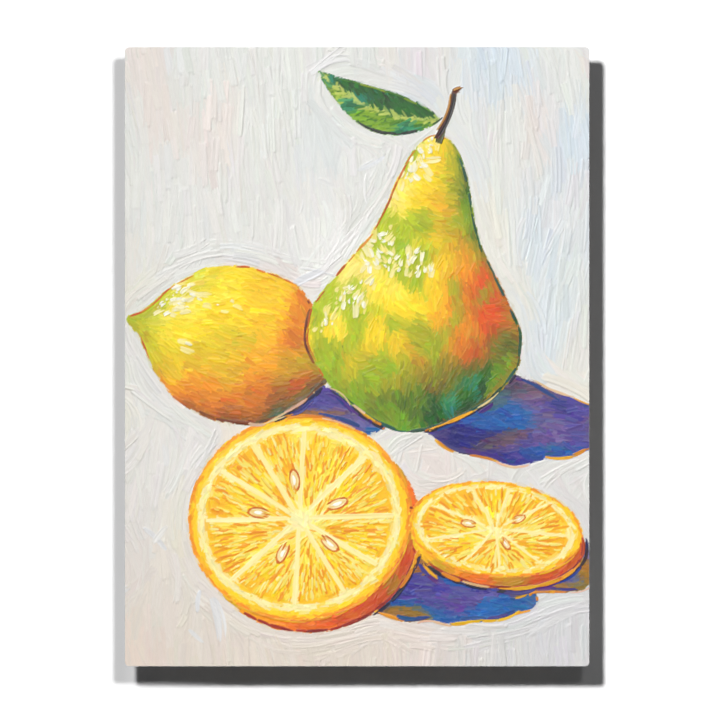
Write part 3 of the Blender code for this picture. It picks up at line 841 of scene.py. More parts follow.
def shadow(depth, along, across, degrees, seed, warmth):
    """A pool of shadow on the cloth: indigo where along is -1, near the fruit, and violet at 1,
    with streaks of blue and ochre and a wandering edge."""
    wander = patches(14, 14, seed)
    colour = ramp(
        along,
        (-1, 18, 22, 78), (-0.6, 36, 42, 116), (-0.1, 74, 70, 142), (0.5, 100, 90, 150),
        (1, 120, 112, 162),
    )
    blue = patches(9, 26, seed + 1) + 0.1 * rise(0.2, -0.8, across)
    ochre = patches(8, 22, seed + 2) + 0.12 * rise(0.2, 0.9, across)
    colour = mix(colour, (24, 104, 168), 0.85 * rise(0.55, 0.72, blue))
    colour = mix(colour, (172, 116, 28), warmth * rise(0.52, 0.7, ochre))
    colour = mix(colour, (146, 112, 142), 0.5 * rise(0.5, 0.8, patches(10, 20, seed + 3)))
    put(depth + 7 * (wander - 0.5), colour, math.radians(degrees) + 0.25 * (wander - 0.5), 1)


# Cast shadows. The pear's is its own outline laid over on the cloth; the others are ovals.
pear_places = [0, 0.12, 0.26, 0.38, 0.52, 0.64, 0.75, 0.88, 1]
pear_widths = [46, 67, 74, 70, 53, 37, 30, 27, 26]
SHADOW_TILT = -6
depth, _, t, share, _ = round_fruit(
    (126, -44), SHADOW_TILT, 180, pear_places, [0.40 * width for width in pear_widths]
)
shadow(depth, 2 * t - 1, share, SHADOW_TILT, 20, 0.35)
for centre, long, short, seed, warmth in (
    ((-38, -33), 64, 17, 30, 0.7),
    ((36, -152), 82, 21, 40, 0.8),
    ((100, -132), 56, 25, 50, 0.9),
):
    depth, along, across, _ = oval(centre, SHADOW_TILT - 1, long, short)
    shadow(depth, along, across, SHADOW_TILT - 1, seed, warmth)

# The lemon, lying behind on the left: yellow in the light, orange and ochre away from it, and
# green at both tips.
depth, lit, t, share, meridian = round_fruit(
    (-79, 8), -13, 148, [0, 0.06, 0.15, 0.3, 0.48, 0.7, 0.85, 0.94, 1], [9, 13, 32, 47, 52, 49, 33, 14, 10]
)
dappled = lit + 0.16 * (patches(5, 6, 61) - 0.5)
colour = ramp(
    dappled,
    (-0.75, 92, 64, 30), (-0.35, 160, 94, 14), (0, 222, 130, 6), (0.3, 248, 170, 6),
    (0.6, 255, 205, 20), (0.85, 255, 225, 66), (1.05, 255, 243, 145),
)
green = patches(12, 16, 62)
tips = rise(0.30, 0.46, np.abs(t - 0.5) + 0.12 * (green - 0.5))
colour = mix(colour, (150, 176, 40), 0.75 * tips * rise(-0.5, 0.3, lit))
colour = mix(colour, (206, 196, 40), 0.45 * rise(0.55, 0.75, green))
glow = rise(0.15, -0.4, lit) * rise(0.45, 0.7, patches(12, 20, 63))
colour = mix(colour, (226, 96, 20), 0.6 * glow)
colour = mix(colour, (58, 120, 130), 0.55 * rise(-0.35, -0.7, lit))
put(depth, colour, meridian, 2)
lemon_lit = np.where(which == 2, lit, -1)

# The pear: lime and yellow in the light, an orange and red blush on its right side, and olive,
# deep green and teal in its shade.
depth, lit, t, share, meridian = round_fruit((42, 48), 83, 196, pear_places, pear_widths)
dappled = lit + 0.18 * (patches(9, 7, 71) - 0.5)
colour = ramp(
    dappled,
    (-0.8, 24, 56, 34), (-0.45, 56, 96, 32), (-0.1, 118, 130, 26), (0.2, 180, 174, 30),
    (0.5, 236, 200, 30), (0.8, 255, 220, 62), (1.05, 255, 240, 145),
)
blush = 0.62 * rise(-0.6, 0.7, -share) * rise(1, 0.5, t) + 0.5 * patches(20, 14, 72)
colour = mix(colour, (250, 150, 10), 0.85 * rise(0.4, 0.75, blush) * rise(-0.2, 0.4, lit))
deep = 0.55 * rise(-0.3, 0.85, -share) * rise(0.95, 0.3, t) + 0.5 * patches(16, 10, 73)
colour = mix(colour, (222, 78, 16), 0.85 * rise(0.5, 0.78, deep) * rise(-0.45, 0.15, lit))
lime = patches(14, 10, 74) + 0.2 * rise(0.5, 1, share) + 0.12 * rise(0.5, 1, t)
colour = mix(colour, (138, 176, 22), 0.65 * rise(0.52, 0.72, lime))
teal = rise(0.55, 0.75, patches(10, 7, 75)) * rise(0.1, -0.5, lit)
colour = mix(colour, (60, 150, 146), 0.6 * teal)
colour = mix(colour, (214, 120, 40), 0.5 * rise(0.86, 0.98, -share) * rise(0.9, 0.4, t))
put(depth, colour, meridian + 1.3 * rise(0.5, 0.62, patches(18, 18, 76)), 3)
pear_lit = np.where(which == 3, lit, -1)

# A leaf at the pear's stem: light upper half, dark lower half, a pale midrib and dark veins.
LEAF_TILT = 158
along, across = turned_plan((11, 163), LEAF_TILT)
t = (along / 86 + 0.5).clip(0, 1)
across = across + 9 * (2 * t - 1) ** 2
leaf_depth = 14 * np.sin(np.pi * t**0.8).clip(0) ** 0.9 - np.abs(across)
leaf_depth = np.where((t > 0) & (t < 1), leaf_depth, -5)
upper = (across > 0).astype(np.float32)
colour = mix(tint(44, 100, 50), (126, 164, 50), upper)
colour = mix(colour, (198, 206, 88), 0.6 * rise(0.5, 0.8, patches(5, 9, 81)) * upper)
colour = mix(colour, (40, 140, 130), 0.7 * rise(0.55, 0.75, patches(5, 9, 82)))
veins = np.abs(np.sin(along * 0.42 + np.abs(across) * 0.4))
colour = mix(colour, (20, 66, 44), 0.5 * rise(0.8, 0.97, veins))
colour = mix(colour, (206, 210, 110), 0.9 * rise(1.5, 0.6, np.abs(across)))
leaf_way = math.radians(LEAF_TILT) - 0.28 * (2 * t - 1) + 0.5 * (2 * upper - 1)
put(leaf_depth, colour, leaf_way, 9)


def cut_orange(centre, degrees, long, short, drop, number, seed, segments):
    """A cut face and the skin that shows past its far side. From the middle out: the core, the
    segments with their walls, the pith and the thin skin. The walls are where the angle, counted
    in segments and swayed a little, comes near a whole number. Gives the share of the way out
    from the face's middle and the share of a segment from its wall."""
    far = (centre[0] + drop[0], centre[1] - drop[1])
    depth, along, across, _ = oval(far, degrees, long, short)
    colour = ramp(
        across - along,
        (-1.6, 176, 66, 10), (-0.8, 232, 112, 6), (0, 250, 168, 6), (1, 255, 209, 26),
    )
    colour = mix(colour, (160, 165, 30), 0.5 * rise(0.6, 0.8, patches(8, 14, seed)))
    round_it = np.arctan2(across * short, along * long)
    tangent = np.arctan2(across / short, along / long) + math.radians(90 + degrees)
    put(depth, colour, tangent, number)
    depth, along, across, out = oval(centre, degrees, long, short)
    turn = np.arctan2(across, along)
    count = turn * segments / (2 * math.pi) + 0.22 * np.sin(2 * turn + seed)
    from_wall = 0.5 - np.abs(count - np.floor(count) - 0.5)
    mottle = patches(6, 6, seed + 5)
    flesh = ramp(
        out + 0.25 * (mottle - 0.5),
        (0.1, 255, 234, 120), (0.4, 255, 218, 56), (0.65, 255, 204, 24), (0.85, 252, 184, 14),
    )
    flesh = mix(flesh, (248, 162, 10), 0.65 * rise(0.58, 0.78, patches(9, 9, seed + 6)))
    flesh = mix(flesh, (255, 234, 130), 0.6 * rise(0.58, 0.78, patches(7, 7, seed + 7)))
    wall = rise(0.050, 0.034, from_wall * (out + 0.06))
    colour = mix(flesh, (253, 238, 172), np.maximum(wall, rise(0.13, 0.09, out)))
    colour = mix(colour, (252, 236, 170), rise(0.82, 0.86, out + 0.03 * (mottle - 0.5)))
    colour = mix(colour, (255, 206, 40), rise(0.912, 0.932, out))
    colour = mix(colour, (244, 150, 10), rise(0.962, 0.984, out))
    radial = round_it + math.radians(degrees)
    tangent = np.arctan2(across / short, along / long) + math.radians(90 + degrees)
    put(depth, colour, np.where(out > 0.8, tangent, radial), number + 1)
    return out, from_wall


# Each cut: its middle, its tilt, its half axes, how far the skin shows past it to the right and
# below, its number, its seed and its segments.
CUTS = (
    ((-38, -106), 8, 73, 67, (7, 8), 4, 90, 10),
    ((91, -113), -6, 57, 31, (1.5, 8), 6, 110, 9),
)
cut_faces = [cut_orange(*cut) for cut in CUTS]

# Near the shapes the brush follows their outlines, and the cloth's strokes turn round them. The
# turning is along the level lines of the shapes' mask, blurred.
spread = np.fft.rfft2(np.pad((which > 0).astype(np.float32), ((0, 17), (0, 11)), "edge"))
up = np.fft.fftfreq(ROWS + 18)[:, None]
over = np.fft.rfftfreq(COLUMNS + 12)[None, :]
spread *= np.exp(-2 * (np.pi * 22) ** 2 * (up**2 + over**2))
nearness = np.fft.irfft2(spread, s=(ROWS + 18, COLUMNS + 12))[: ROWS + 1, : COLUMNS + 1]
climb_z, climb_x = np.gradient(nearness)
around = np.arctan2(climb_x, -climb_z)
near = rise(0.02, 0.12, nearness)
between = np.exp(2j * way) * (1 - near) + np.exp(2j * around) * near
way = np.where(which == 0, np.angle(between) / 2, way)

# ---- Painting it ----
# Acrylic laid on with flat hog brushes, from wide to narrow, then the lights, the lines and the
# seeds. The canvas here is three rasters that every stroke works into: colour, thickness and
# where the last brush's hairs ran.

FINER = 2  # raster cells to a mesh cell
across_mm = np.linspace(-WIDTH_MM / 2, WIDTH_MM / 2, COLUMNS * FINER + 1, dtype=np.float32)
up_mm = np.linspace(-HEIGHT_MM / 2, HEIGHT_MM / 2, ROWS * FINER + 1, dtype=np.float32)
step_x = CELL_X / FINER
step_z = CELL_Z / FINER
canvas = np.empty((up_mm.size, across_mm.size, 3), np.float32)
canvas[:] = tint(237, 230, 214)
thickness = np.zeros(canvas.shape[:2], np.float32)  # mm
hairs = np.zeros(canvas.shape[:2] + (2,), np.float32)  # mm along and across the last stroke

HAIR_ACROSS = 0.12  # mm to a row of the bristle noise
HAIR_ALONG = 1.0  # and to a column
bristles = 0.5 * clouds(2048, 512, 1.6, 9, 11) + 0.5 * clouds(2048, 512, 5, 14, 12)
bristles = (0.5 + 0.25 * (bristles - 0.5) / bristles.std()).clip(0, 1).astype(np.float32)
unevenness = clouds(2048, 512, 4, 12, 13)
strokes_laid = 0


def on_raster(field):
    """A plan's field on the canvas raster, with the mean of its neighbours between its points."""
    if FINER == 1:
        return field.astype(np.float32)
    fine = np.empty(thickness.shape, np.float32)
    fine[::2, ::2] = field
    fine[1::2, ::2] = (field[1:] + field[:-1]) / 2
    fine[:, 1::2] = (fine[:, :-1:2] + fine[:, 2::2]) / 2
    return fine


stencils = {number: on_raster(depth) for number, depth in into_shape.items()}
stencils[0] = on_raster(-into_motif)


def lay(place, angle, length, width, bow, paint, second, body, stencil, cover, dry, drag=1.0, taper=0):
    """One brush stroke, in mm. t runs from 0 to 1 along it, and its middle bows sideways like a
    parabola. With taper its width goes as (4 t (1 - t)) ** taper, so 0.5 gives an oval. The
    bristles cover all but a ragged rim, and a dry brush only where it is fullest and less as it
    runs out. Paint takes up some of what is wet under it as t grows. It is left in furrows, with
    a bead along both sides and at the end, on part of what was there."""
    global strokes_laid
    cosine, sine = math.cos(angle), math.sin(angle)
    half_long = length / 2 + 0.6
    half_wide = width / 2 + abs(bow) * 0.7 + 0.4
    reach_x = abs(cosine) * half_long + abs(sine) * half_wide
    reach_z = abs(sine) * half_long + abs(cosine) * half_wide
    left = max(int((place[0] - reach_x + WIDTH_MM / 2) / step_x), 0)
    right = min(int((place[0] + reach_x + WIDTH_MM / 2) / step_x) + 2, across_mm.size)
    low = max(int((place[1] - reach_z + HEIGHT_MM / 2) / step_z), 0)
    high = min(int((place[1] + reach_z + HEIGHT_MM / 2) / step_z) + 2, up_mm.size)
    if right - left < 3 or high - low < 3:
        return
    dx = across_mm[left:right] - np.float32(place[0])
    dz = up_mm[low:high, None] - np.float32(place[1])
    along = dx * cosine + dz * sine
    t = along / length + 0.5
    across = dz * cosine - dx * sine - bow * (4 * t * (1 - t) - 0.67)
    # Each stroke takes its furrows from another part of the bristle noise.
    strokes_laid += 1
    offset_across = strokes_laid * 37.13 % 120 + 60
    offset_along = strokes_laid * 17.7 % 300 + 200
    row = ((across + offset_across) / HAIR_ACROSS).astype(np.int32) & 2047
    column = ((along + offset_along) / HAIR_ALONG).astype(np.int32) & 511
    hair = bristles[row, column]
    rag = hair - 0.5
    half = width / 2 * (4 * t * (1 - t)).clip(1e-4) ** taper if taper else width / 2
    from_side = half - np.abs(across)
    to_end = (1 - t) * length
    mark = (from_side / 0.45 + rag * 1.5 + 0.2).clip(0, 1)
    mark *= (t * length / (0.12 * width + 0.3) + rag * 1.5).clip(0, 1)
    mark *= (to_end / (0.45 * width + 0.3) + rag * 3).clip(0, 1)
    if dry:
        mark *= ((hair - dry * (0.35 + 0.65 * t)) * 5 + 0.5).clip(0, 1)
    if stencil is not None:
        mark *= ((stencil[low:high, left:right] + rag + 0.5) / 0.5).clip(0, 1)
    mark *= cover
    wet = canvas[low:high, left:right]
    ground = thickness[low:high, left:right]
    touched = mark.sum() + 1e-3
    under = (wet * mark[..., None]).sum((0, 1)) / touched
    level = float((ground * mark).sum() / touched)
    laid = paint + (second - paint) * unevenness[row, column][..., None]
    laid += (under - laid) * (drag * (0.08 + 0.22 * t.clip(0, 1)))[..., None]
    wet += (laid - wet) * mark[..., None]
    bead = 0.5 * np.exp(-(((from_side - 0.35) / 0.3) ** 2))
    bead += 0.4 * np.exp(-(((to_end - 0.6) / 0.5) ** 2)) * (from_side > 0)
    ground += (0.62 * level + body * (0.5 + 0.9 * rag + bead) - ground) * mark * 0.85
    over_half = mark > 0.5
    last = hairs[low:high, left:right]
    last[over_half, 0] = (along + offset_along)[over_half]
    last[over_half, 1] = (across + offset_across)[over_half]


def at(field, x, z, finer=1):
    """A field's values at places, from the nearest point of the plan or of the finer raster."""
    row = ((z + HEIGHT_MM / 2) / CELL_Z * finer).round().astype(int).clip(0, field.shape[0] - 1)
    column = ((x + WIDTH_MM / 2) / CELL_X * finer).round().astype(int).clip(0, field.shape[1] - 1)
    return field[row, column]


def bow_of(turning, length):
    """The bow of a stroke on a line that turns by this angle over half the stroke's length."""
    turning = np.angle(np.exp(2j * turning)) / 2
    turning = np.where(np.abs(turning) < 0.8, turning, 0)
    return -length * np.tan(turning.clip(-0.6, 0.6)) * 0.25


def scattered(draw, spacing, margin, chance, off=None):
    """Places on a shaken grid that reaches this far past the sheet, as often as chance says and,
    with off given, only where the canvas is that far from the plan's colour, in random order."""
    x, z = np.meshgrid(
        np.arange(-WIDTH_MM / 2 - margin, WIDTH_MM / 2 + margin, spacing),
        np.arange(-HEIGHT_MM / 2 - margin, HEIGHT_MM / 2 + margin, spacing),
    )
    x = (x + draw.uniform(-0.5, 0.5, x.shape) * spacing).ravel()
    z = (z + draw.uniform(-0.5, 0.5, z.shape) * spacing).ravel()
    wanted = at(chance, x, z) > draw.uniform(0, 1, x.size)
    if off is not None:
        error = np.abs(at(canvas, x, z, FINER) - at(target, x, z)).sum(-1)
        wanted &= error > off
    order = draw.permutation(np.flatnonzero(wanted))
    return x[order], z[order], order.size


def brush_pass(
    width, spacing, ratio, chance, seed, body=0.07, cover=0.9, wander=0.15, vary=0.02, dry=0.0, off=None
):
    """A pass with one brush. Each stroke takes the plan's colour and way at its middle, shaken by
    vary and wander, and is shortened where it would leave its shape."""
    draw = np.random.default_rng(seed)
    x, z, count = scattered(draw, spacing, width, chance, off)
    angle = at(way, x, z) + draw.normal(0, wander, count)
    angle += np.pi * (draw.uniform(0, 1, count) < 0.5)
    length = width * ratio * draw.uniform(0.7, 1.35, count)
    broad = width * draw.uniform(0.75, 1.2, count)
    shape = at(which, x, z)
    for reach in (0.5, -0.5, 0.3, -0.3):
        out_x = x + np.cos(angle) * length * reach
        out_z = z + np.sin(angle) * length * reach
        length = np.where(at(which, out_x, out_z) != shape, length * 0.72, length)
    length = np.maximum(length, width * 1.05)
    ahead_x = x + np.cos(angle) * length / 2
    ahead_z = z + np.sin(angle) * length / 2
    bow = bow_of(at(way, ahead_x, ahead_z) - at(way, x, z), length)
    near_x = x + draw.normal(0, width * 0.35, count)
    near_z = z + draw.normal(0, width * 0.35, count)
    own = (at(which, near_x, near_z) == shape)[:, None]
    plan = np.where(own, at(target, near_x, near_z), at(target, x, z))
    plan = plan * (1 + vary * draw.standard_t(4, (count, 1)).clip(-3, 3))
    first = plan + draw.normal(0, vary * 0.7, (count, 1)) + draw.normal(0, vary * 0.6, (count, 3))
    second = plan - draw.normal(0, vary * 0.8, (count, 1)) + draw.normal(0, vary * 0.7, (count, 3))
    first = first.clip(0, 1).astype(np.float32)
    second = second.clip(0, 1).astype(np.float32)
    heavy = body * draw.uniform(0.5, 1.6, count)
    masks = [stencils[number] for number in shape]
    for stroke in zip(zip(x, z), angle, length, broad, bow, first, second, heavy, masks):
        lay(*stroke, cover, dry)


def edge_lines(depth, inset, width, length, paint, second, chance, seed, body=0.12):
    """Thin broken lines along a shape's edge, or inset from it: strokes that start where the
    distance field passes inset and run along its level line, as often as chance says."""
    draw = np.random.default_rng(seed)
    climb_z, climb_x = np.gradient(depth, CELL_Z, CELL_X)
    rows, columns = np.nonzero(np.abs(depth - inset) < 0.3)
    wanted = draw.uniform(0, 1, rows.size) < chance[rows, columns] * CELL_X / length
    order = draw.permutation(np.flatnonzero(wanted))
    rows, columns = rows[order], columns[order]
    x, z = X[rows, columns], Z[rows, columns]
    count = order.size
    angle = np.arctan2(climb_x[rows, columns], -climb_z[rows, columns])
    angle += np.pi * (draw.uniform(0, 1, count) < 0.5)
    long = length * draw.uniform(0.6, 1.4, count)
    turning = []
    for reach in (0.5, -0.5):
        on_x = x + np.cos(angle) * long * reach
        on_z = z + np.sin(angle) * long * reach
        there = np.arctan2(at(climb_x, on_x, on_z), -at(climb_z, on_x, on_z))
        turning.append(np.angle(np.exp(2j * (there - angle))) / 2)
    bow = bow_of(turning[0], long)
    broken = (np.abs(turning[0]) > 0.6) | (np.abs(turning[1]) > 0.6)
    long = np.where(broken, width * 1.6, long)
    bow = np.where(broken, 0, bow)
    paint, second = tint(*paint), tint(*second)
    share = draw.uniform(0, 1, (count, 1))
    first = (paint + (second - paint) * share + draw.normal(0, 0.02, (count, 3))).astype(np.float32)
    broad = width * draw.uniform(0.6, 1.3, count)
    heavy = body * draw.uniform(0.6, 1.3, count)
    for stroke in zip(zip(x, z), angle, long, broad, bow, first, first * 0.88, heavy):
        lay(*stroke, None, cover=0.95, dry=0, drag=0.6, taper=0.22)


def dabs(chance, spacing, width, ratio, paint, second, seed, body=0.2, turn=0.5, cover=0.95, dry=0.0):
    """Short loaded touches, as often as chance says, a little across the way."""
    draw = np.random.default_rng(seed)
    x, z, count = scattered(draw, spacing, 0, chance)
    angle = at(way, x, z) + draw.normal(0, turn, count)
    broad = width * draw.uniform(0.6, 1.5, count)
    long = broad * ratio * draw.uniform(0.7, 1.4, count)
    bow = long * draw.normal(0, 0.06, count)
    paint, second = tint(*paint), tint(*second)
    share = draw.uniform(0, 1, (count, 1))
    first = (paint + (second - paint) * share).astype(np.float32)
    heavy = body * draw.uniform(0.6, 1.4, count)
    masks = [stencils[number] for number in at(which, x, z)]
    for stroke in zip(zip(x, z), angle, long, broad, bow, first, first * 0.93, heavy, masks):
        lay(*stroke, cover, dry, drag=0.5, taper=0.3)


cloth = (which == 0).astype(np.float32)
shapes = 1 - cloth

# The cloth first, with a wide brush over everything, then narrower and drier over that.
brush_pass(17, 9.5, 4.2, np.ones_like(cloth), 1, body=0.08, cover=0.95, wander=0.1, vary=0.006)
brush_pass(11, 7.5, 4.5, cloth, 2, body=0.1, cover=0.8, wander=0.16, vary=0.008)
brush_pass(6, 6.5, 5, 0.5 * cloth, 3, body=0.12, cover=0.8, vary=0.010, dry=0.3)
brush_pass(3, 6, 8, 0.25 * cloth, 31, body=0.12, cover=0.7, wander=0.12, vary=0.010, dry=0.5)

# The cloth's colour dragged round the shapes with a stiff brush, in furrows that stand up.
skirt = cloth * rise(3, 6, -into_motif) * rise(30, 16, -into_motif)
brush_pass(4.5, 5, 5.5, 0.5 * skirt, 32, body=0.24, cover=0.85, wander=0.1, vary=0.012, dry=0.42)

# The shapes, blocked in and then worked finer. The last two brushes go only where the canvas
# isn't the plan's colour yet.
brush_pass(9, 5.5, 3, shapes, 4, body=0.08, cover=0.95, vary=0.02)
brush_pass(5.5, 3.8, 3, shapes, 5, body=0.10, vary=0.055, wander=0.25)
brush_pass(3.2, 2.8, 2.8, 0.45 * shapes, 6, body=0.12, cover=0.95, vary=0.055, wander=0.3, off=0.05)
brush_pass(1.9, 1.5, 3.2, np.ones_like(cloth), 7, body=0.06, vary=0.02, wander=0.18, off=0.16)

# The cut faces: streaks of juice, darker and lighter, from the core out, then the walls.
for (out, from_wall), number, seed in zip(cut_faces, (5, 7), (200, 210)):
    in_flesh = (which == number) * (out > 0.16) * (out < 0.80) * (from_wall * (out + 0.06) > 0.06)
    dabs(0.45 * in_flesh, 2.6, 1.5, 4.5, (240, 140, 4), (252, 178, 14), seed + 1, 0.14, 0.08, 0.85)
    dabs(0.4 * in_flesh, 2.8, 1.5, 4, (255, 228, 90), (255, 243, 165), seed, 0.18, 0.08, 0.95)
for centre, tilt, long, short, _, _, seed, segments in CUTS:
    cosine, sine = math.cos(math.radians(tilt)), math.sin(math.radians(tilt))
    for k in range(segments):
        turn = 2 * math.pi * k / segments
        turn -= 0.22 * math.sin(2 * turn + seed) * 2 * math.pi / segments
        x = long * math.cos(turn)
        z = short * math.sin(turn)
        right, up = x * cosine - z * sine, x * sine + z * cosine
        lay(
            (centre[0] + 0.47 * right, centre[1] + 0.47 * up), math.atan2(up, right) + math.pi,
            0.76 * math.hypot(right, up), 0.045 * short + 0.6, 0.5 * math.sin(5 * k),
            tint(255, 242, 180), tint(252, 232, 150), 0.16, None, 0.97, 0, 0.2, 0.1,
        )

# Lights: cream touches where the fruit faces the lamp, thick enough to catch it, in two sizes and
# in clumps.
clumps = patches(9, 12, 230)
for lit, low, seed in ((pear_lit, 0.80, 240), (lemon_lit, 0.82, 250)):
    clumped = lit + 0.7 * (clumps - 0.5)
    soft = 0.6 * rise(low, low + 0.16, clumped)
    sharp = 0.6 * rise(low + 0.06, low + 0.22, clumped)
    dabs(soft, 4.4, 3.0, 2.0, (255, 236, 140), (254, 246, 200), seed, 0.2, 0.3, 0.92, 0.12)
    dabs(sharp, 3.6, 2.2, 1.8, (255, 250, 215), (255, 254, 242), seed + 1, 0.3, 0.4, 1.0)


def edge_facing(depth):
    """How squarely a shape's edge faces the lamp, from -1 to 1: the way out of the shape, which
    is against the distance's gradient, times the way to the lamp."""
    climb_z, climb_x = np.gradient(depth, CELL_Z, CELL_X)
    toward = climb_x * LIGHT[0] + climb_z * LIGHT[1]
    return -toward / (np.hypot(climb_x, climb_z) + 1e-3) / math.hypot(LIGHT[0], LIGHT[1])


# Lines along the edges: warm ones towards the light, dark ones away from it, and indigo in the
# shadow right under each shape.
for number, warm, warmer, dark, darker in (
    (2, (232, 150, 14), (206, 84, 18), (150, 84, 20), (96, 60, 34)),
    (3, (190, 84, 22), (222, 140, 26), (30, 84, 50), (24, 96, 92)),
    (4, (236, 150, 16), (250, 200, 40), (176, 70, 14), (120, 44, 20)),
    (6, (236, 150, 16), (250, 200, 40), (186, 80, 14), (128, 50, 20)),
    (9, (150, 170, 60), (70, 120, 50), (20, 64, 44), (24, 50, 60)),
):
    depth = into_shape[number]
    facing = edge_facing(depth)
    edge_lines(depth, 0.6, 1.3, 9, warm, warmer, 1.8 * rise(0, 0.5, facing), 300 + number)
    edge_lines(depth, 0.9, 1.9, 10, dark, darker, 2.4 * rise(0, -0.5, facing), 320 + number)
    under = (which == 1) * rise(0.2, -0.3, facing)
    edge_lines(depth, -1.3, 2.4, 11, (30, 30, 82), (54, 40, 60), 2.5 * under, 340 + number)

# Rims round the shadows: orange and yellow in some stretches, pink in others, and blue inside.
rim = into_shape[1]
glow = patches(14, 18, 360)
orange, pink = 2.4 * rise(0.42, 0.54, glow), 1.2 * rise(0.5, 0.36, glow)
edge_lines(rim, 0.0, 2.2, 14, (232, 130, 24), (246, 190, 40), orange, 361, 0.18)
edge_lines(rim, -0.6, 1.6, 13, (236, 186, 160), (246, 214, 160), pink, 362, 0.14)
edge_lines(rim, 2.4, 2.6, 16, (96, 60, 128), (40, 92, 150), 1.0 + 0 * rim, 363, 0.14)

# The pear's stem: green in its dip, then brown with a darker middle and a light on its left, and
# the broad cut end with its own light.
for place, degrees, length, width, bow, paint, second in (
    ((54.9, 146), 76, 13, 5.0, 0.0, (96, 92, 30), (60, 70, 34)),
    ((59.4, 159), 70, 36, 4.6, -2.4, (70, 42, 24), (96, 58, 28)),
    ((60.2, 159), 70, 32, 2.4, -2.4, (44, 28, 26), (58, 36, 28)),
    ((58.0, 160), 70, 26, 1.4, -2.2, (196, 148, 84), (168, 112, 52)),
    ((66.0, 175), 20, 7.5, 4.2, 0.3, (110, 70, 34), (80, 48, 28)),
    ((65.6, 176), 20, 5, 1.6, 0.2, (206, 164, 104), (180, 130, 70)),
):
    along = math.radians(degrees)
    lay(place, along, length, width, bow, tint(*paint), tint(*second), 0.22, None, 1, 0, 0.3, 0.12)

# Seeds near the cores: a brown hollow, the pale seed in it and a light on that.
for (centre, *_), tall, reach, turns in zip(
    CUTS, (0.93, 0.54), (27, 19), ((22, 97, 172, 246, 318), (38, 160, 290))
):
    for turn in turns:
        right, up = math.cos(math.radians(turn)), tall * math.sin(math.radians(turn))
        place = (centre[0] + reach * right, centre[1] + reach * up)
        size = reach / 25
        for length, width, paint, second in (
            (15, 7.0, (222, 128, 16), (190, 92, 14)),
            (12, 5.2, (252, 236, 184), (236, 204, 130)),
            (6, 2.0, (255, 253, 240), (255, 252, 236)),
        ):
            lay(
                place, math.atan2(up, right) + math.pi, length * size, width * size, 0.3 * size,
                tint(*paint), tint(*second), 0.16, None, 1, 0, 0.2, 0.6,
            )

# Last, a few long ridges where a knife has dragged white over the cloth.
thin, broad = [part * cloth * rise(4, end, -into_motif) for part, end in ((0.05, 12), (0.10, 10))]
dabs(thin, 16, 1.3, 16, (250, 249, 246), (240, 240, 242), 370, 0.3, 0.5)
dabs(broad, 15, 5.5, 4, (240, 238, 233), (226, 229, 234), 371, 0.2, 0.9, 0.8, 0.3)

# ---- The picture's solid ----
# The paint as a closed solid on the sheet, in five strips. Its front is a grid whose height is
# the paint's thickness and whose colour is the canvas's, the mean of the raster round each point.

PAINT_BACK = sheet_low[1]
PRIMER = 0.0004
STRIPS = 5
EDGE_GAP = 0.15  # mm of bare sheet round the paint
BACK_ROWS = 25  # rows of the front to a row of the back
BACK_COLUMNS = 13
CORNER_ROWS = 6  # rows of the front at each round corner, which the back has too
CRISP = 1.3  # how far the colour is sharpened again after its mean
HEAVY = 1.7  # how many times thicker the paint stands than the strokes count


def softened(field):
    """Each point as the 1 4 1 mean of its neighbours up and down, then left and right."""
    for _ in range(2):
        padded = np.pad(field, [(1, 1)] + [(0, 0)] * (field.ndim - 1), "edge")
        field = (padded[:-2] + 4 * padded[1:-1] + padded[2:]) / 6
        field = np.swapaxes(field, 0, 1)
    return field


pigment = softened(canvas)[::FINER, ::FINER]
pigment = (pigment + CRISP * (pigment - softened(pigment))).clip(0, 1)
linear = np.where(pigment < 0.04045, pigment / 12.92, ((pigment + 0.055) / 1.055) ** 2.4)
linear = (0.90 * linear - 0.03).clip(0.004)  # dry acrylic is darker than its tube colour
relief = HEAVY * softened(thickness)[::FINER, ::FINER]  # mm
strokes_way = hairs[::FINER, ::FINER]
half_tall = HEIGHT_MM / 2 - EDGE_GAP
half_wide = WIDTH_MM / 2 - EDGE_GAP
corner = SHEET_CORNER * 1000 - EDGE_GAP
z_mm = Z[:, 0] * half_tall / (HEIGHT_MM / 2)
lacking = (np.abs(z_mm) - (half_tall - corner)).clip(0)
reach = half_wide - corner + np.sqrt((corner**2 - lacking**2).clip(0))
surface = np.empty(X.shape + (3,))
surface[..., 0] = X * (reach / (WIDTH_MM / 2))[:, None] / 1000
surface[..., 1] = PAINT_BACK - PRIMER - relief / 1000
surface[..., 2] = z_mm[:, None] / 1000 + MIDDLE_Z
slope_z, slope_x = np.gradient(relief, CELL_Z, CELL_X)
facing = np.stack([-slope_x, -np.ones_like(relief), -slope_z], -1)
facing /= np.linalg.norm(facing, axis=-1, keepdims=True)

# Satin acrylic: the pigment, glossier or duller along bristle lines that run with each stroke.
acrylic, tree = new_material("satin_acrylic")
colour = node(tree, "Attribute", attribute_name="pigment").outputs["Color"]
stroke = node(tree, "Attribute", attribute_name="bristles").outputs["Vector"]
pores = noise(tree, node(tree, "TexCoord").outputs["Object"], 1800.0, 2.0)
combed = noise(tree, vector_maths(tree, "MULTIPLY", stroke, (0.2, 1.7, 1.0)), 1.0, 3.0, 0.6)
rough = maths(tree, "MULTIPLY_ADD", pores, 0.12, remap(tree, combed, 0.3, 0.7, 0.34, 0.52))
height = maths(tree, "MULTIPLY_ADD", pores, 0.4, combed)
worked = vector_maths(tree, "MULTIPLY", colour, remap(tree, combed, 0.3, 0.7, 0.955, 1.045))
finish(tree, worked, rough, height, 0.0001, 0.9, IOR=1.45)


def cells(grid):
    """The four corners of each cell of a grid, in order round it."""
    return np.stack([grid[:-1, :-1], grid[:-1, 1:], grid[1:, 1:], grid[1:, :-1]], 2)


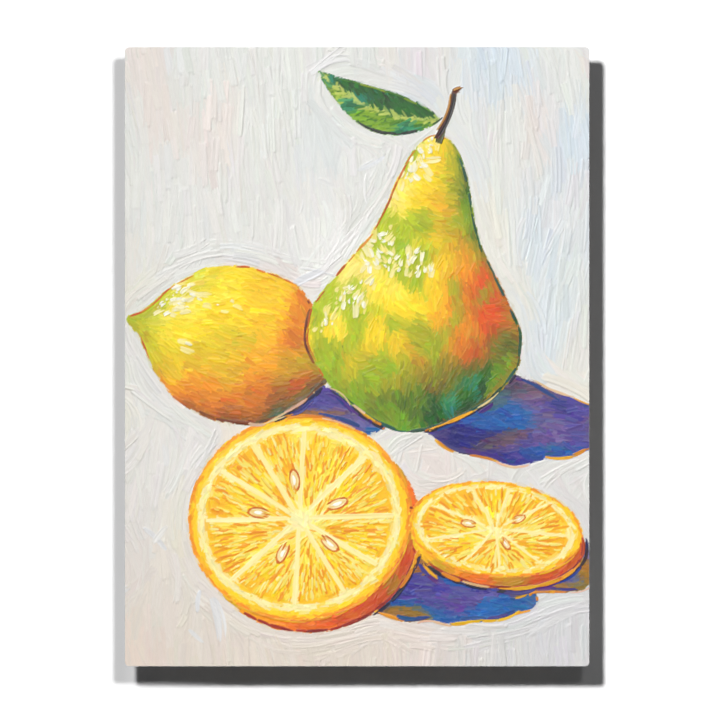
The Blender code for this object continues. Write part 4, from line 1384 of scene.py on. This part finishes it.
def zipped(fine, coarse, matches, fine_uv, coarse_uv):
    """Triangles between a run of fine vertices and a run of coarse ones; matches says which of
    the fine ones stand over the coarse ones. Each fine edge goes to the nearest coarse vertex."""
    nearest = np.abs(np.arange(len(fine))[:, None] - matches[None, :]).argmin(1)
    ahead, here = nearest[1:], nearest[:-1]
    jump = ahead != here
    return [
        np.concatenate(
            [
                np.stack([front[:-1], front[1:], back[here]], 1),
                np.stack([front[1:][jump], back[ahead[jump]], back[here[jump]]], 1),
            ]
        )
        for front, back in ((fine, coarse), (fine_uv, coarse_uv))
    ]


def fill(data, key, values, kind=np.float32):
    """Puts whole arrays into a mesh's data."""
    data.foreach_set(key, np.asarray(values, kind).ravel())


for strip in range(STRIPS):
    first = strip * ROWS // STRIPS
    last = (strip + 1) * ROWS // STRIPS
    here = slice(first, last + 1)
    grid = surface[here]
    rows, columns = grid.shape[:2]
    top = np.arange(rows * columns).reshape(rows, columns)
    # The back: a coarse grid under the same outline, with every row kept at the round corners.
    span = np.arange(rows)
    at_corner = np.minimum(first + span, ROWS - first - span) <= CORNER_ROWS
    few_rows = span[(span % BACK_ROWS == 0) | (span == rows - 1) | at_corner]
    few_columns = np.linspace(0, columns - 1, BACK_COLUMNS).round().astype(int)
    behind = grid[few_rows][:, few_columns].copy()
    behind[..., 1] = PAINT_BACK
    back = top.size + np.arange(behind[..., 0].size).reshape(behind.shape[:2])
    vertices = np.concatenate([grid.reshape(-1, 3), behind.reshape(-1, 3)])
    # On the UV map the front fills all but a low band, the back a tile in the band's left half
    # and the four walls lines in its right half.
    share_x = np.linspace(0, 1, columns)
    share_z = np.linspace(0, 1, rows)
    top_uv = np.stack(np.meshgrid(0.01 + 0.98 * share_x, 0.07 + 0.92 * share_z), -1)
    back_uv = np.stack(
        np.meshgrid(0.01 + 0.44 * share_x[few_columns], 0.01 + 0.05 * share_z[few_rows]), -1
    )
    quads, quad_uv = cells(top).reshape(-1, 4), cells(top_uv).reshape(-1, 2)
    other_way = [0, 3, 2, 1]
    plates = cells(back)[:, :, other_way].reshape(-1, 4)
    plate_uv = cells(back_uv)[:, :, other_way].reshape(-1, 2)
    walls, wall_uv = [], []
    for k, (fine, coarse, matches) in enumerate(
        (
            (top[0][::-1], back[0][::-1], columns - 1 - few_columns[::-1]),
            (top[-1], back[-1], few_columns),
            (top[:, 0], back[:, 0], few_rows),
            (top[::-1, -1], back[::-1, -1], rows - 1 - few_rows[::-1]),
        )
    ):
        low = 0.008 + 0.015 * k
        places = 0.47 + 0.52 * np.linspace(0, 1, len(fine))
        fine_uv = np.stack([places, places * 0 + low + 0.009], 1)
        coarse_uv = np.stack([places[matches], places[matches] * 0 + low], 1)
        triangles, uvs = zipped(fine, coarse, matches, fine_uv, coarse_uv)
        walls.append(triangles)
        wall_uv.append(uvs.reshape(-1, 2))
    walls = np.concatenate(walls)
    loops = np.concatenate([quads.ravel(), plates.ravel(), walls.ravel()])
    sizes = np.concatenate([np.full(len(quads) + len(plates), 4), np.full(len(walls), 3)])
    name = f"painted_strip_{strip + 1}"
    mesh = bpy.data.meshes.new(name)
    mesh.vertices.add(len(vertices))
    fill(mesh.vertices, "co", vertices)
    mesh.loops.add(len(loops))
    fill(mesh.loops, "vertex_index", loops, np.int32)
    mesh.polygons.add(len(sizes))
    fill(mesh.polygons, "loop_start", np.cumsum(sizes) - sizes, np.int32)
    mesh.update(calc_edges=True)
    fill(mesh.uv_layers.new(name="OFBake").data, "uv", np.concatenate([quad_uv, plate_uv, *wall_uv]))
    colours = np.ones((len(vertices), 4), np.float32)
    colours[: top.size, :3] = linear[here].reshape(-1, 3)
    colours[top.size :, :3] = linear[here][few_rows][:, few_columns].reshape(-1, 3)
    fill(mesh.color_attributes.new("pigment", "FLOAT_COLOR", "POINT").data, "color", colours)
    along_strokes = np.zeros((len(vertices), 3), np.float32)
    along_strokes[: top.size, :2] = strokes_way[here].reshape(-1, 2)
    fill(mesh.attributes.new("bristles", "FLOAT_VECTOR", "POINT").data, "vector", along_strokes)
    fill(mesh.polygons, "use_smooth", np.arange(len(sizes)) < len(quads), bool)
    face_normals = np.empty(len(sizes) * 3, np.float32)
    mesh.polygons.foreach_get("normal", face_normals)
    corner_normals = np.repeat(face_normals.reshape(-1, 3), sizes, axis=0)
    corner_normals[: quads.size] = facing[here].reshape(-1, 3)[quads.ravel()]
    mesh.normals_split_custom_set(corner_normals.tolist())
    placed(name, mesh, acrylic, "picture", "picture_face")
